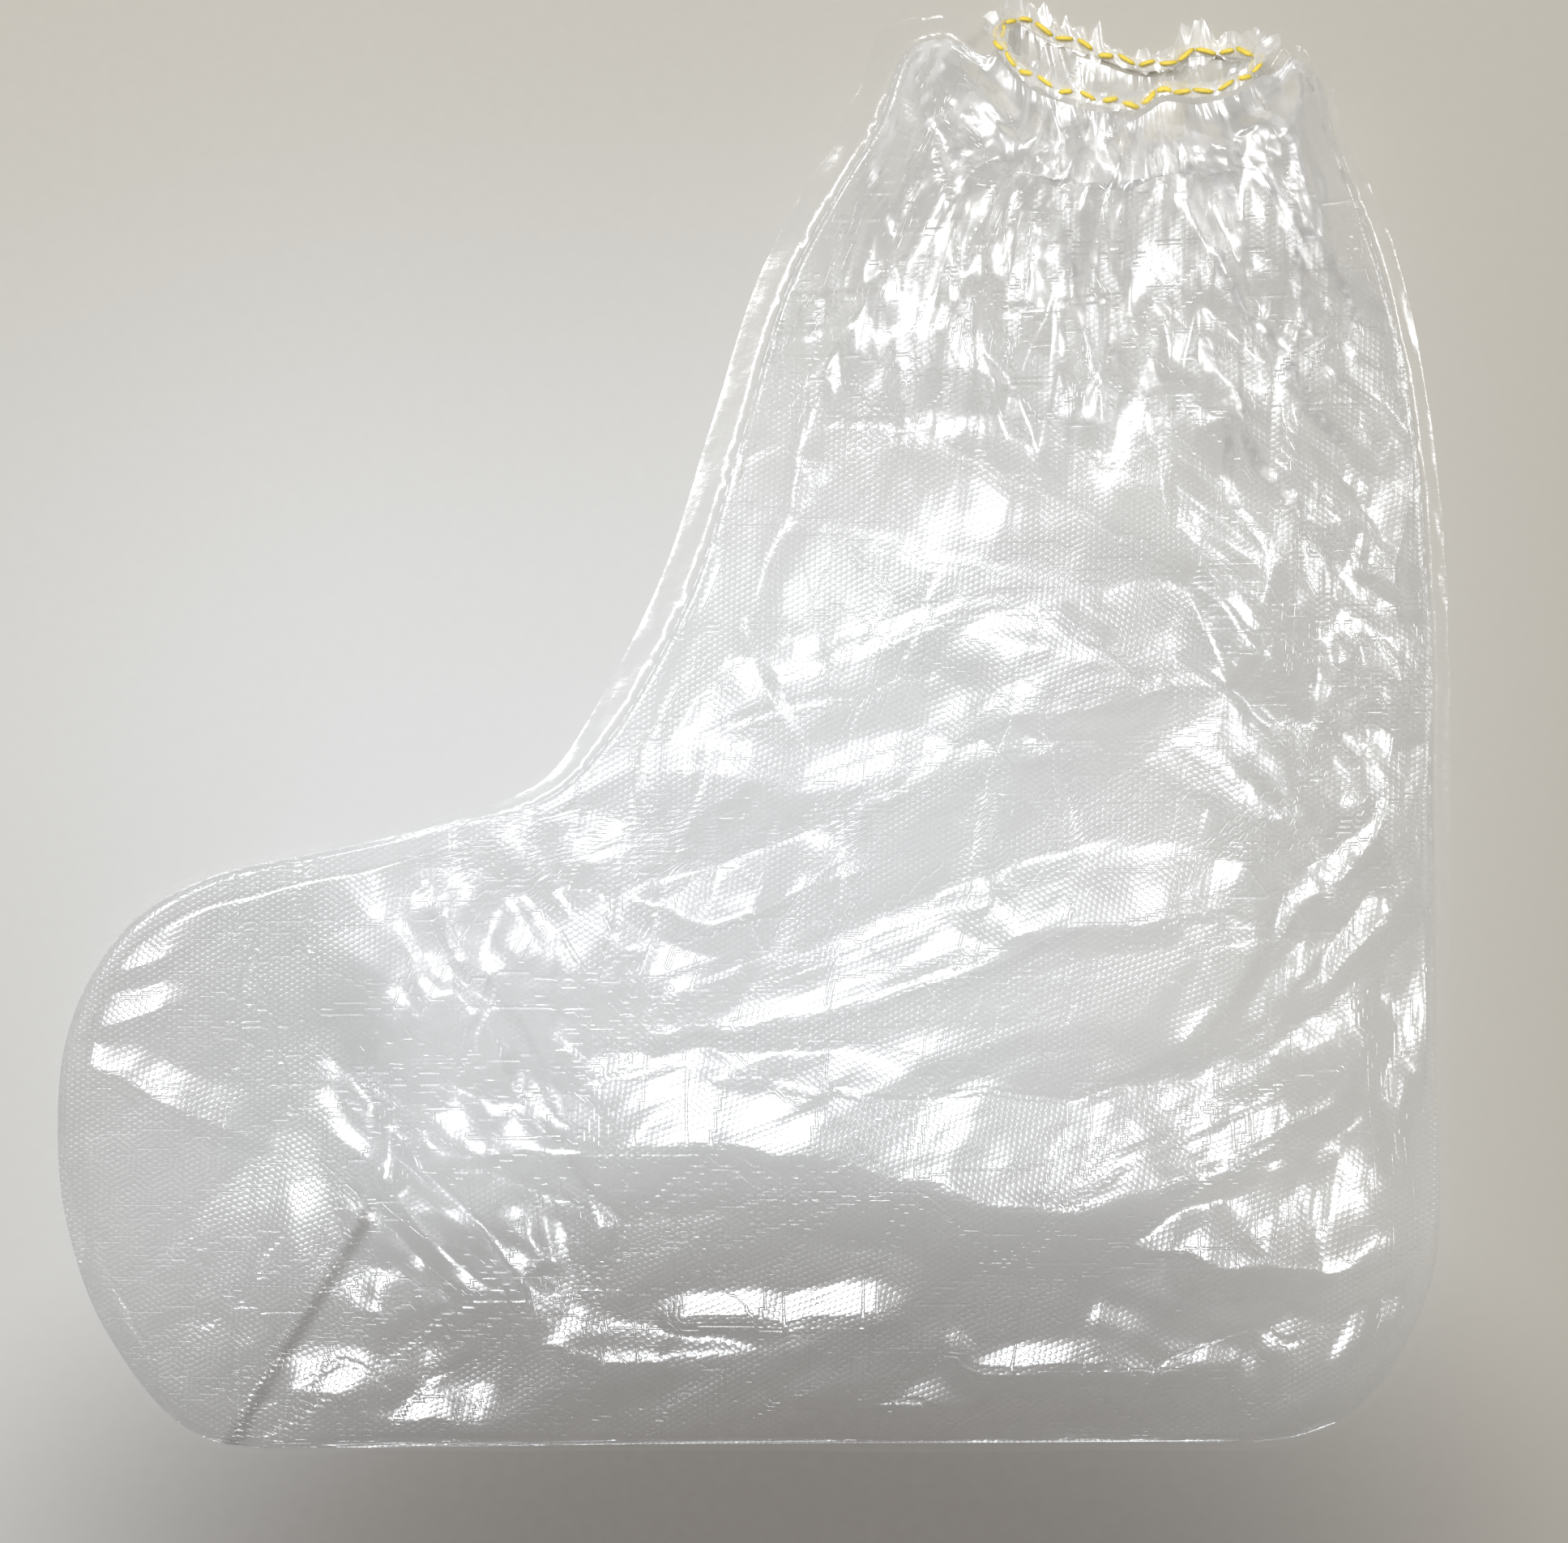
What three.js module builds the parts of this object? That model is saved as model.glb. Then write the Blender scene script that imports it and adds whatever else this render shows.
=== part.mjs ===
// A clear plastic film boot cover, lying flat on its side as it does on a table.
// Millimetres. The foot lies along X with the toe towards -X, the leg runs up +Y to the
// gathered cuff, and +Z is up from the surface that the cover rests on.
//
// The bag is two film panels, welded along one edge from the front of the cuff, down the shin,
// round the toe, along the sole, round the heel and up the back. The hollow for the boot is
// between them and opens at the cuff, where a ring of elastic gathers the film and the rest of
// the film stands past it as a frill.

import * as THREE from "three";
import { mergeVertices } from "three/addons/utils/BufferGeometryUtils.js";

// ------------------------------------------------------------------ driving sizes

const WALL = 1.2; // film panels and frill, as thin as they are modelled
const GAP = 0.3; // clearance between neighbouring pieces
const HEM_GAP = 1.4; // clearance of the panels' ends from the waving elastic
const WELD_THICKNESS = 1.6; // the two films fused together
const EDGE_REACH = 46; // how far in from the weld the upper film is still rising
const FOLD_REACH = 14; // how far in from the weld the folds reach their full height
const LIFTED_SIDE = 3; // how steeply the lower film lifts to the rim at its sides
const MERGE_DISTANCE = 1e-3; // points closer than this are one point

const ELASTIC_WIDTH = 5; // along the leg
const ELASTIC_THICKNESS = 1;

const FRILL = {
  lobes: 24, // ruffles round the whole ring
  swing: 1.7, // how far a ruffle leans in or out at its tip
  rise: 8, // how far the upper side stands up
  side: 5, // how far the ends stand out sideways
  drop: 0.6, // how far the lower side falls back to the surface
  flattened: 0.4, // share of the swing that the lower side keeps, where it lies down
  reach: 4.5, // how far the lower side runs on past the elastic
  lean: 3, // how far the upper side runs on past the elastic
  ragged: 0.3, // share by which the tips differ in length
  raggedWaves: 7, // slow changes of that length round the ring
  flare: 1.5, // how late in its length the upper side turns up
  shares: [0, 0.5, 1], // of its length, where its section has points
};

const GATHER = {
  pleats: 9, // across one panel
  height: 2.6,
  fullAt: 1.3, // stations below the elastic where they stand highest
  goneAt: 6.5, // stations below the elastic where the film is smooth again
  uneven: 0.35, // share by which the pleats differ in height
  unevenWaves: 5,
};

// How the rows of the film turn from the curve of the elastic to straight across the bag.
// Places are counted in stations below the elastic.
const CUFF = {
  straightFrom: 4.2, // from here on the rows run straight across
  turning: 2, // the stations before that in which they turn
  squareEnd: 24, // how squarely a row meets the bag's edges at the elastic
  roundEnd: 4, // and once the shoulder is past
  shoulderEnd: 2,
  upperSag: [8, 0.6], // how far the upper rows lie below the elastic, and how that grows
  lowerSag: [12, 0.5],
  upperDrape: 1.6, // stations that the upper film takes to leave the elastic's height
  lowerDrape: 1.5, // stations that the lower film takes to reach the surface
  foldsStart: [1, 3], // where the main folds begin, and where they have their full height
};

const GRID = {
  rowsPerStation: 3,
  upperColumns: 30,
  lowerColumns: 14,
  ringSteps: 64,
  frillSteps: 120,
};

// One row for each station down the bag, from the cuff to the toe. front and back are the x
// and y of the bag's two edges, weld is the width of the fused edge at the front and at the
// back, rim is the height of that edge above the surface, and loft is how far the upper film
// stands above it.
const STATIONS = [
  { at: "elastic", front: [66, 193.5], back: [144, 187.5], weld: [4, 4], rim: 13, loft: 10 },
  { at: "hem", front: [54, 201.5], back: [151, 195.5], weld: [5, 4], rim: 12, loft: 15 },
  { at: "shoulder", front: [38, 198], back: [162.5, 188.5], weld: [6, 4], rim: 8, loft: 21 },
  { at: "gathers", front: [27, 176], back: [168.5, 171], weld: [7, 4], rim: 4, loft: 25 },
  { at: "calf", front: [2, 134], back: [182, 138], weld: [8, 5], rim: 0, loft: 26 },
  { at: "mid calf", front: [-14, 86], back: [192, 94], weld: [9, 5], rim: 0, loft: 22 },
  { at: "shin", front: [-27, 46], back: [197, 42], weld: [9, 5], rim: 0, loft: 20 },
  { at: "ankle", front: [-46, 8], back: [198, -22], weld: [8, 5], rim: 0, loft: 19 },
  { at: "crook", front: [-60, -12], back: [197.5, -92], weld: [5, 4], rim: 0, loft: 19 },
  { at: "heel back", front: [-72, -19], back: [194.5, -160], weld: [3, 3], rim: 0, loft: 18 },
  { at: "heel sole", front: [-86, -23], back: [166, -198.5], weld: [2, 2], rim: 0, loft: 17 },
  { at: "instep", front: [-106, -28], back: [88, -205], weld: [2, 2], rim: 0, loft: 17 },
  { at: "ball", front: [-130, -33], back: [-10, -205], weld: [2, 2], rim: 0, loft: 15 },
  { at: "toe joint", front: [-156, -39], back: [-98, -205], weld: [2, 2], rim: 0, loft: 13 },
  { at: "toe cap", front: [-178.5, -51], back: [-160, -202.5], weld: [2, 2], rim: 0, loft: 11 },
  { at: "toe side", front: [-192.5, -69], back: [-187.5, -172.5], weld: [2, 2], rim: 0, loft: 9 },
  { at: "toe end", front: [-200, -89], back: [-199.5, -140], weld: [2, 2], rim: 0, loft: 7 },
];
const TOE_TIP = { front: [-202, -114], weld: [2, 2], rim: 0, loft: 5 };

// One row for each station round the elastic, from its front end to its back end. The ring is
// two layers, one above the other, with a pinch between a wide lobe and a narrow one.
const ELASTIC = [
  { x: 68, upperY: 197, upperZ: 14.5, lowerY: 197, lowerZ: 14.5 },
  { x: 73.5, upperY: 187.5, upperZ: 20, lowerY: 204, lowerZ: 6 },
  { x: 82, upperY: 182, upperZ: 24, lowerY: 200, lowerZ: 2.9 },
  { x: 95, upperY: 178, upperZ: 26, lowerY: 195.5, lowerZ: 2.5 },
  { x: 107, upperY: 177, upperZ: 22, lowerY: 191, lowerZ: 3.8 },
  { x: 115, upperY: 182, upperZ: 17.5, lowerY: 190.5, lowerZ: 7 },
  { x: 124, upperY: 180.5, upperZ: 23, lowerY: 195, lowerZ: 3 },
  { x: 135, upperY: 183.5, upperZ: 23, lowerY: 194.5, lowerZ: 4.5 },
  { x: 142, upperY: 191, upperZ: 14.5, lowerY: 191, lowerZ: 14.5 },
];

// One row for each main fold of the upper film: the ends of its crest, how wide it is on
// either side and how high it stands. A height below zero is a valley.
const FOLDS = [
  { name: "toe crease", fromX: -146, fromY: -198, toX: -112, toY: -140, width: 14, height: 5 },
  { name: "toe crease valley", fromX: -166, fromY: -190, toX: -132, toY: -134, width: 13, height: -3 },
  { name: "toe ridge", fromX: -175, fromY: -62, toX: -160, toY: -104, width: 14, height: 5 },
  { name: "toe ridge end", fromX: -160, fromY: -104, toX: -120, toY: -112, width: 15, height: 4 },
  { name: "vamp valley", fromX: -140, fromY: -62, toX: -70, toY: -48, width: 18, height: -3 },
  { name: "ball ridge", fromX: -104, fromY: -82, toX: -98, toY: -114, width: 15, height: 5 },
  { name: "ball diagonal", fromX: -88, fromY: -138, toX: -52, toY: -172, width: 14, height: 4 },
  { name: "instep ridge", fromX: -82, fromY: -58, toX: -46, toY: -118, width: 14, height: 5 },
  { name: "instep fork", fromX: -72, fromY: -92, toX: -48, toY: -140, width: 12, height: 5 },
  { name: "arch ridge", fromX: -46, fromY: -97, toX: 132, toY: -94, width: 22, height: 6 },
  { name: "arch valley", fromX: -44, fromY: -127, toX: 84, toY: -128, width: 18, height: -5 },
  { name: "sole ridge", fromX: -22, fromY: -156, toX: 44, toY: -160, width: 14, height: 4 },
  { name: "sole patch", fromX: -48, fromY: -170, toX: -16, toY: -180, width: 12, height: 4 },
  { name: "ankle diagonal", fromX: -26, fromY: -86, toX: 100, toY: -50, width: 15, height: 6 },
  { name: "ankle ridge", fromX: -40, fromY: -22, toX: 86, toY: -3, width: 18, height: 5 },
  { name: "ankle run out", fromX: 86, fromY: -3, toX: 134, toY: -40, width: 13, height: 4 },
  { name: "crook ridge", fromX: -50, fromY: -26, toX: -12, toY: -44, width: 12, height: 4 },
  { name: "ankle cross", fromX: 68, fromY: -14, toX: 60, toY: -46, width: 12, height: 4 },
  { name: "shin ridge", fromX: -18, fromY: 22, toX: 96, toY: 44, width: 16, height: 5 },
  { name: "shin valley", fromX: -4, fromY: 8, toX: 70, toY: 16, width: 14, height: -3 },
  { name: "shin knuckle", fromX: 84, fromY: 40, toX: 92, toY: 4, width: 13, height: 5 },
  { name: "calf ridge", fromX: 10, fromY: 66, toX: 96, toY: 52, width: 14, height: 4 },
  { name: "calf crease", fromX: 118, fromY: 148, toX: 166, toY: 72, width: 12, height: 5 },
  { name: "calf fork", fromX: 130, fromY: 100, toX: 152, toY: 56, width: 12, height: 4 },
  { name: "calf front crease", fromX: 12, fromY: 112, toX: 22, toY: 66, width: 12, height: 4 },
  { name: "back ridge", fromX: 158, fromY: 48, toX: 178, toY: 6, width: 12, height: 4 },
  { name: "back patch", fromX: 160, fromY: 12, toX: 144, toY: -14, width: 13, height: 4 },
  { name: "back loop", fromX: 146, fromY: -20, toX: 130, toY: -64, width: 13, height: 5 },
  { name: "back run out", fromX: 130, fromY: -64, toX: 108, toY: -94, width: 12, height: 4 },
  { name: "heel ridge", fromX: 128, fromY: -116, toX: 168, toY: -88, width: 13, height: 5 },
  { name: "heel valley", fromX: 100, fromY: -158, toX: 152, toY: -184, width: 16, height: -4 },
];

// ------------------------------------------------------------------ the bag's outline

const ROWS = STATIONS.length * GRID.rowsPerStation;
const clamp01 = (value) => THREE.MathUtils.clamp(value, 0, 1);
const mix = (from, to, share) => THREE.MathUtils.lerp(from, to, share);
const smooth = (value, from, to) => THREE.MathUtils.smoothstep(value, from, to);

// The edge of the bag as one curve: down the front, round the toe tip and back along the sole.
const edgeCurve = new THREE.CatmullRomCurve3(
  [
    ...STATIONS.map((station) => new THREE.Vector3(...station.front, station.rim)),
    new THREE.Vector3(...TOE_TIP.front, TOE_TIP.rim),
    ...STATIONS.map((station) => new THREE.Vector3(...station.back, station.rim)).reverse(),
  ],
  false,
  "centripetal",
);
const edgePoints = edgeCurve.getPoints(2 * ROWS);

// A value of the station table at a row, which may fall between two stations.
function stationValue(row, valueOf) {
  const place = row / GRID.rowsPerStation;
  const index = Math.min(Math.floor(place), STATIONS.length - 1);
  const next = STATIONS[index + 1] ?? TOE_TIP;
  return mix(valueOf(STATIONS[index]), valueOf(next), place - index);
}
const rimAt = (row) => stationValue(row, (station) => station.rim);
const loftAt = (row) => stationValue(row, (station) => station.loft);

// The width of the weld at a point of the edge, counted along the whole edge.
function weldWidth(step) {
  const side = step <= ROWS ? 0 : 1;
  return stationValue(side ? 2 * ROWS - step : step, (station) => station.weld[side]);
}

// The direction into the bag, level with the surface, at a point of the edge.
function inward(step) {
  const before = edgePoints[Math.max(step - 1, 0)];
  const after = edgePoints[Math.min(step + 1, 2 * ROWS)];
  return new THREE.Vector3(before.y - after.y, after.x - before.x, 0).normalize();
}

// A point of the edge moved into the bag, with its height kept at the rim.
function insetEdge(step, distance) {
  const point = edgePoints[step].clone().addScaledVector(inward(step), distance);
  point.z = Math.max(point.z, 0);
  return point;
}

const panelEdge = edgePoints.map((_, step) => insetEdge(step, weldWidth(step) + GAP));

// The distance of a point from a straight line between the origin and (runX, runY).
function segmentDistance(x, y, runX, runY) {
  const along = clamp01((x * runX + y * runY) / (runX ** 2 + runY ** 2 || 1));
  return Math.hypot(x - along * runX, y - along * runY);
}

// How far a point lies in from the welded edge, seen from above.
function edgeDistance(x, y) {
  let nearest = Infinity;
  for (let step = 0; step < 2 * ROWS; step += 1) {
    const start = panelEdge[step];
    const run = panelEdge[step + 1].clone().sub(start);
    nearest = Math.min(nearest, segmentDistance(x - start.x, y - start.y, run.x, run.y));
  }
  return nearest;
}

// ------------------------------------------------------------------ the elastic ring

const ringCurve = new THREE.CatmullRomCurve3(
  [
    ...ELASTIC.map((e) => new THREE.Vector3(e.x, e.upperY, e.upperZ)),
    ...ELASTIC.slice(1, -1).map((e) => new THREE.Vector3(e.x, e.lowerY, e.lowerZ)).reverse(),
  ],
  true,
  "centripetal",
);

// The line where a panel meets the elastic, from the front of the cuff (0) to its back (1).
function hemPoint(across, upper) {
  const point = ringCurve.getPoint(upper ? across / 2 : (1 - across / 2) % 1);
  point.y -= ELASTIC_WIDTH / 2 + HEM_GAP;
  return point;
}

// The direction out of the ring at a share of its length, square to the leg.
function ringOutward(share) {
  const tangent = ringCurve.getTangentAt(share);
  return new THREE.Vector3(-tangent.z, 0, tangent.x).normalize();
}

// ------------------------------------------------------------------ the shape of the film

// A fold's crest is full height along its line and eases down to nothing at its width.
function foldHeight(x, y) {
  let height = 0;
  for (const { fromX, fromY, toX, toY, width, height: crest } of FOLDS) {
    const away = segmentDistance(x - fromX, y - fromY, toX - fromX, toY - fromY);
    height += crest * (1 - smooth(away, 0, width));
  }
  return height;
}

// The pleats that run from the elastic down the leg and die away.
function gatherHeight(place, across) {
  const begun = smooth(place, 0, GATHER.fullAt);
  const left = 1 - smooth(place, GATHER.fullAt, GATHER.goneAt);
  const uneven = 1 + GATHER.uneven * Math.sin(GATHER.unevenWaves * across);
  const pleat = Math.cos(2 * Math.PI * GATHER.pleats * across) * Math.sin(Math.PI * across);
  return GATHER.height * begun * left * uneven * pleat;
}

// A point of a panel seen from above, with the height of the bag's rim.
function planPoint(row, across, upper) {
  const place = row / GRID.rowsPerStation;
  const point = panelEdge[row].clone().lerp(panelEdge[2 * ROWS - row], across);
  const endShape = mix(CUFF.squareEnd, CUFF.roundEnd, smooth(place, 0, CUFF.shoulderEnd));
  const turned = smooth(place, CUFF.straightFrom - CUFF.turning, CUFF.straightFrom);
  const gathered = (1 - turned) * (1 - Math.abs(2 * across - 1) ** endShape);
  const hem = hemPoint(across, upper);
  const [sag, growth] = upper ? CUFF.upperSag : CUFF.lowerSag;
  const spreadX = mix(hem.x, point.x, clamp01(place / CUFF.straightFrom));
  point.x = mix(point.x, spreadX, gathered);
  point.y = mix(point.y, hem.y - sag * place - growth * place ** 2, gathered);
  return point;
}

// A point of the underside of the upper film, which stands up from the rim over the hollow.
function upperPoint(row, across) {
  const place = row / GRID.rowsPerStation;
  const point = planPoint(row, across, true);
  const inside = edgeDistance(point.x, point.y);
  const rim = rimAt(row) + WALL + GAP;
  const puffed = Math.sin((Math.PI / 2) * clamp01(inside / EDGE_REACH));
  const foldShare = clamp01(inside / FOLD_REACH) * smooth(place, ...CUFF.foldsStart);
  const folded = foldHeight(point.x, point.y) * foldShare;
  const film = rim + loftAt(row) * puffed + folded + gatherHeight(place, across);
  const hem = Math.max(hemPoint(across, true).z, rim);
  const height = mix(hem, film, smooth(place, 0, CUFF.upperDrape));
  return point.setZ(Math.max(height, rim));
}

// A point of the underside of the lower film, which lies flat and lifts to the rim at the cuff.
function lowerPoint(row, across) {
  const place = row / GRID.rowsPerStation;
  const point = planPoint(row, across, false);
  const side = Math.abs(2 * across - 1) ** LIFTED_SIDE;
  const drape = mix(hemPoint(across, false).z, 0, smooth(place, 0, CUFF.lowerDrape));
  return point.setZ(mix(drape, rimAt(row), side));
}

// ------------------------------------------------------------------ making the solids

// Joins closed sections, each an equal list of points that runs once round the solid, into one
// closed body. A ring of sections closes on itself, and an open run of them is capped.
function skin(sections, { ring = false } = {}) {
  const size = sections[0].length;
  const positions = sections.flat().flatMap((point) => point.toArray());
  const triangles = [];
  const spans = ring ? sections.length : sections.length - 1;
  for (let s = 0; s < spans; s += 1) {
    const here = s * size;
    const next = ((s + 1) % sections.length) * size;
    for (let k = 0; k < size; k += 1) {
      const beside = (k + 1) % size;
      triangles.push([here + k, next + k, next + beside]);
      triangles.push([here + k, next + beside, here + beside]);
    }
  }
  if (!ring) {
    const last = (sections.length - 1) * size;
    for (let k = 0; k < size / 2 - 1; k += 1) {
      const [a, b, c, d] = [k, k + 1, size - 2 - k, size - 1 - k];
      triangles.push([a, b, c], [a, c, d]);
      triangles.push([last + a, last + c, last + b], [last + a, last + d, last + c]);
    }
  }
  const geometry = new THREE.BufferGeometry();
  geometry.setAttribute("position", new THREE.Float32BufferAttribute(positions, 3));
  geometry.setIndex(triangles.flat());
  return dropEmptyTriangles(mergeVertices(geometry, MERGE_DISTANCE));
}

// Removes the triangles that lost their area where sections meet in one point.
function dropEmptyTriangles(geometry) {
  const kept = [];
  const index = geometry.index.array;
  for (let i = 0; i < index.length; i += 3) {
    const [a, b, c] = [index[i], index[i + 1], index[i + 2]];
    if (a !== b && b !== c && a !== c) kept.push(a, b, c);
  }
  geometry.setIndex(kept);
  geometry.computeVertexNormals();
  return geometry;
}

// A film wall whose underside is given by a function of row and share across.
function filmWall(columns, underside) {
  const sections = [];
  for (let row = 0; row <= ROWS; row += 1) {
    const under = [];
    for (let column = 0; column <= columns; column += 1) {
      under.push(underside(row, column / columns));
    }
    const top = under.map((point) => point.clone().setZ(point.z + WALL));
    sections.push([...top, ...under.reverse()]);
  }
  return skin(sections);
}

// A band that follows the elastic ring, from one face to the other of each section.
function ringBand(steps, section) {
  const sections = [];
  for (let step = 0; step < steps; step += 1) {
    const share = step / steps;
    sections.push(section(ringCurve.getPointAt(share), ringOutward(share), share));
  }
  return skin(sections, { ring: true });
}

function weldSections() {
  return edgePoints.map((_, step) => {
    const outer = insetEdge(step, 0);
    const inner = insetEdge(step, weldWidth(step));
    const raise = (point) => point.clone().setZ(point.z + WELD_THICKNESS);
    return [raise(outer), raise(inner), inner, outer];
  });
}

function elasticSection(centre, outward) {
  const corner = (out, along) =>
    centre
      .clone()
      .addScaledVector(outward, (out * ELASTIC_THICKNESS) / 2)
      .setY(centre.y + (along * ELASTIC_WIDTH) / 2);
  return [corner(1, -1), corner(1, 1), corner(-1, 1), corner(-1, -1)];
}

function frillSection(centre, outward, share) {
  const up = (outward.z + 1) / 2;
  const turn = 2 * Math.PI * share;
  const ruffle = Math.sin(FRILL.lobes * turn) * FRILL.swing * mix(FRILL.flattened, 1, up);
  const slow = Math.sin(FRILL.raggedWaves * turn + 1);
  const length = 1 + FRILL.ragged * slow * Math.cos((FRILL.lobes * turn) / 2);
  const lift = mix(-FRILL.drop, FRILL.rise, up) * Math.abs(outward.z);
  const side = outward.x ** 3 * FRILL.side;
  const reach = mix(FRILL.reach, FRILL.lean, up);
  const face = (out) =>
    FRILL.shares.map((t) => {
      const point = centre.clone().addScaledVector(outward, (out * WALL) / 2 + ruffle * t);
      point.x += side * t * length;
      point.y += ELASTIC_WIDTH / 2 + GAP + reach * t * length;
      point.z += lift * t ** FRILL.flare * length;
      return point;
    });
  return [...face(1), ...face(-1).reverse()];
}

// ------------------------------------------------------------------ the finished cover

const film = (color) => new THREE.MeshStandardMaterial({ color, roughness: 0.2, metalness: 0 });

function piece(name, geometry, material) {
  const mesh = new THREE.Mesh(geometry, material);
  mesh.name = name;
  return mesh;
}

const bootCover = new THREE.Group();
bootCover.name = "boot_cover";
bootCover.add(
  piece("upper_film_panel", filmWall(GRID.upperColumns, upperPoint), film(0xe9edf0)),
  piece("lower_film_panel", filmWall(GRID.lowerColumns, lowerPoint), film(0xdde1e4)),
  piece("welded_edge", skin(weldSections()), film(0xf4f6f8)),
  piece(
    "elastic_ring",
    ringBand(GRID.ringSteps, elasticSection),
    new THREE.MeshStandardMaterial({ color: 0xe3c94d, roughness: 0.7, metalness: 0 }),
  ),
  piece("cuff_frill", ringBand(GRID.frillSteps, frillSection), film(0xf2f4f6)),
);

// The middle of the whole cover, seen from above, stands over the origin.
const extent = new THREE.Box3().setFromObject(bootCover);
const middle = extent.getCenter(new THREE.Vector3());
bootCover.position.set(-middle.x, -middle.y, -extent.min.z);

export default bootCover;
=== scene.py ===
"""A clear plastic film boot cover with a gathered elastic cuff, laid flat on its side.

The add-on makes the film, the weld, the elastic, the stitches and the frill of the cover as
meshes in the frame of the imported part, and a plain studio round them. Tables are in
millimetres, in the frame of the bag's outline, and every mesh is in metres.
"""

import math
from collections import namedtuple

import bmesh
import bpy
import numpy as np
from mathutils import Matrix, Vector


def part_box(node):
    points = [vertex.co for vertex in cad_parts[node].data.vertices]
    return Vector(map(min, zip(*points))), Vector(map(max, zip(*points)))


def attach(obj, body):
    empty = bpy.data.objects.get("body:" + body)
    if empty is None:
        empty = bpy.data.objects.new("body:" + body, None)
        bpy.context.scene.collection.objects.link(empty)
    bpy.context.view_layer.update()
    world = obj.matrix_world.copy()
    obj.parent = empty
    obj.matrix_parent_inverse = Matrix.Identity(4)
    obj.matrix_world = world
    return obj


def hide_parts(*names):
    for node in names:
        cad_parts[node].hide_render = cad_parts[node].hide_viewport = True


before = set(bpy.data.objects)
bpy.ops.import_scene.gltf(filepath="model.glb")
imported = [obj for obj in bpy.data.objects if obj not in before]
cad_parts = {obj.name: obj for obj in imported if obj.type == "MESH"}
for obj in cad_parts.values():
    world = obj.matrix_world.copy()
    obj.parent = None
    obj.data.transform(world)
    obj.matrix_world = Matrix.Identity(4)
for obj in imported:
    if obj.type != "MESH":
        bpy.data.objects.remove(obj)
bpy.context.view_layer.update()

bl_info = {
    "name": "Film boot cover",
    "version": (1, 0, 0),
    "blender": (4, 5, 0),
    "location": "View3D > Sidebar > Boot cover",
    "description": "Makes a clear film boot cover with a gathered elastic cuff",
    "category": "Object",
}

MM = 0.001
CAMERA_CENTRE = (7.5, -10.9, 0)  # the middle of the view, in the outline's frame

# ------------------------------------------------------------------ tables of the shape


def table(title, columns, rows, defaults=()):
    """The rows of a table, as named tuples with its columns."""
    row = namedtuple(title, columns, defaults=defaults)
    return [row(*values) for values in rows]


# The stations down the bag, from the cuff to the toe: the front and back edges, the width of
# the weld on each, the height of the rim and how far the upper film stands above it.
STATIONS = table("Station", "name front_x front_y back_x back_y front_weld back_weld rim loft", [
    ("elastic", 66, 193.5, 144, 187.5, 4, 4, 13, 10),
    ("hem", 54, 201.5, 151, 195.5, 5, 4, 12, 15),
    ("shoulder", 38, 198, 162.5, 188.5, 6, 4, 8, 21),
    ("gathers", 27, 176, 168.5, 171, 7, 4, 4, 25),
    ("calf", 2, 134, 182, 138, 8, 5, 0, 26),
    ("mid calf", -14, 86, 192, 94, 9, 5, 0, 22),
    ("shin", -27, 46, 197, 42, 9, 5, 0, 20),
    ("ankle", -46, 8, 198, -22, 8, 5, 0, 19),
    ("crook", -60, -12, 197.5, -92, 5, 4, 0, 19),
    ("heel back", -72, -19, 194.5, -160, 3, 3, 0, 18),
    ("heel sole", -86, -23, 166, -198.5, 2, 2, 0, 17),
    ("instep", -106, -28, 88, -205, 2, 2, 0, 17),
    ("ball", -130, -33, -10, -205, 2, 2, 0, 15),
    ("toe joint", -156, -39, -98, -205, 2, 2, 0, 13),
    ("toe cap", -178.5, -51, -160, -202.5, 2, 2, 0, 11),
    ("toe side", -192.5, -69, -187.5, -172.5, 2, 2, 0, 9),
    ("toe end", -200, -89, -199.5, -140, 2, 2, 0, 7),
    ("toe tip", -202, -114, -202, -114, 2, 2, 0, 5),
])
EDGE_REACH = 21  # how far in from the weld the upper film is still rising
EDGE_UNEVEN = 0.4  # how much that varies, as a share
EDGE_WAVE = 34  # over what distance it varies
FOOT_STEEPER = 0.65  # how much shorter it is on the foot, as a share
BACK_EDGE = 3  # how far in from the back weld the film rises steeply
BACK_LIFT = 0.3  # the share of the loft that it has risen by then
BACK_REACH = 64  # how far in the gentle slope after that goes
PANEL_GAP = 1.0  # how far the upper film's edge lies over the rim
LAID_GAP = 0.4  # how far the lower film lies over the surface

# The elastic, from its front end to its back end: an upper and a lower side with a pinch.
ELASTIC = table("Elastic", "x upper_y upper_z lower_y lower_z", [
    (68, 197, 14.5, 197, 14.5),
    (73.5, 187.5, 20, 204, 6),
    (82, 182, 24, 200, 2.9),
    (95, 178, 26, 195.5, 2.5),
    (107, 177, 22, 191, 3.8),
    (115, 182, 17.5, 190.5, 7),
    (124, 180.5, 23, 195, 3),
    (135, 183.5, 23, 194.5, 4.5),
    (142, 191, 14.5, 191, 14.5),
])
HEM_DROP = 3.9  # how far the panels' ends lie below the middle of the elastic
PINCH_X = 113  # where the elastic is pinched and the film under it bunched
BUNCH_PITCH = 1.7  # from one fine pleat to the next there
PLEATS = 9  # broad pleats of the upper film under the elastic
PLEAT_HEIGHT = 2.6

# Rows of the weld, from its outer side to its inner one: the share of its width, and the height.
FLANGE = table("FlangeRow", "share lift", [
    (0, 0.2), (0.06, 0.24), (0.14, 0.24), (0.3, 0.24), (0.5, 0.26), (0.7, 0.3), (1, 0.5)])
# The beaded line inside the weld: how far past its width each row lies, and the height.
BEADED = table("BeadRow", "beside lift", [(0.2, 0.9), (0.45, 1.2), (1.2, 1.26), (1.6, 0.8)])
WELD_STEPS = 1400
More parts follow.
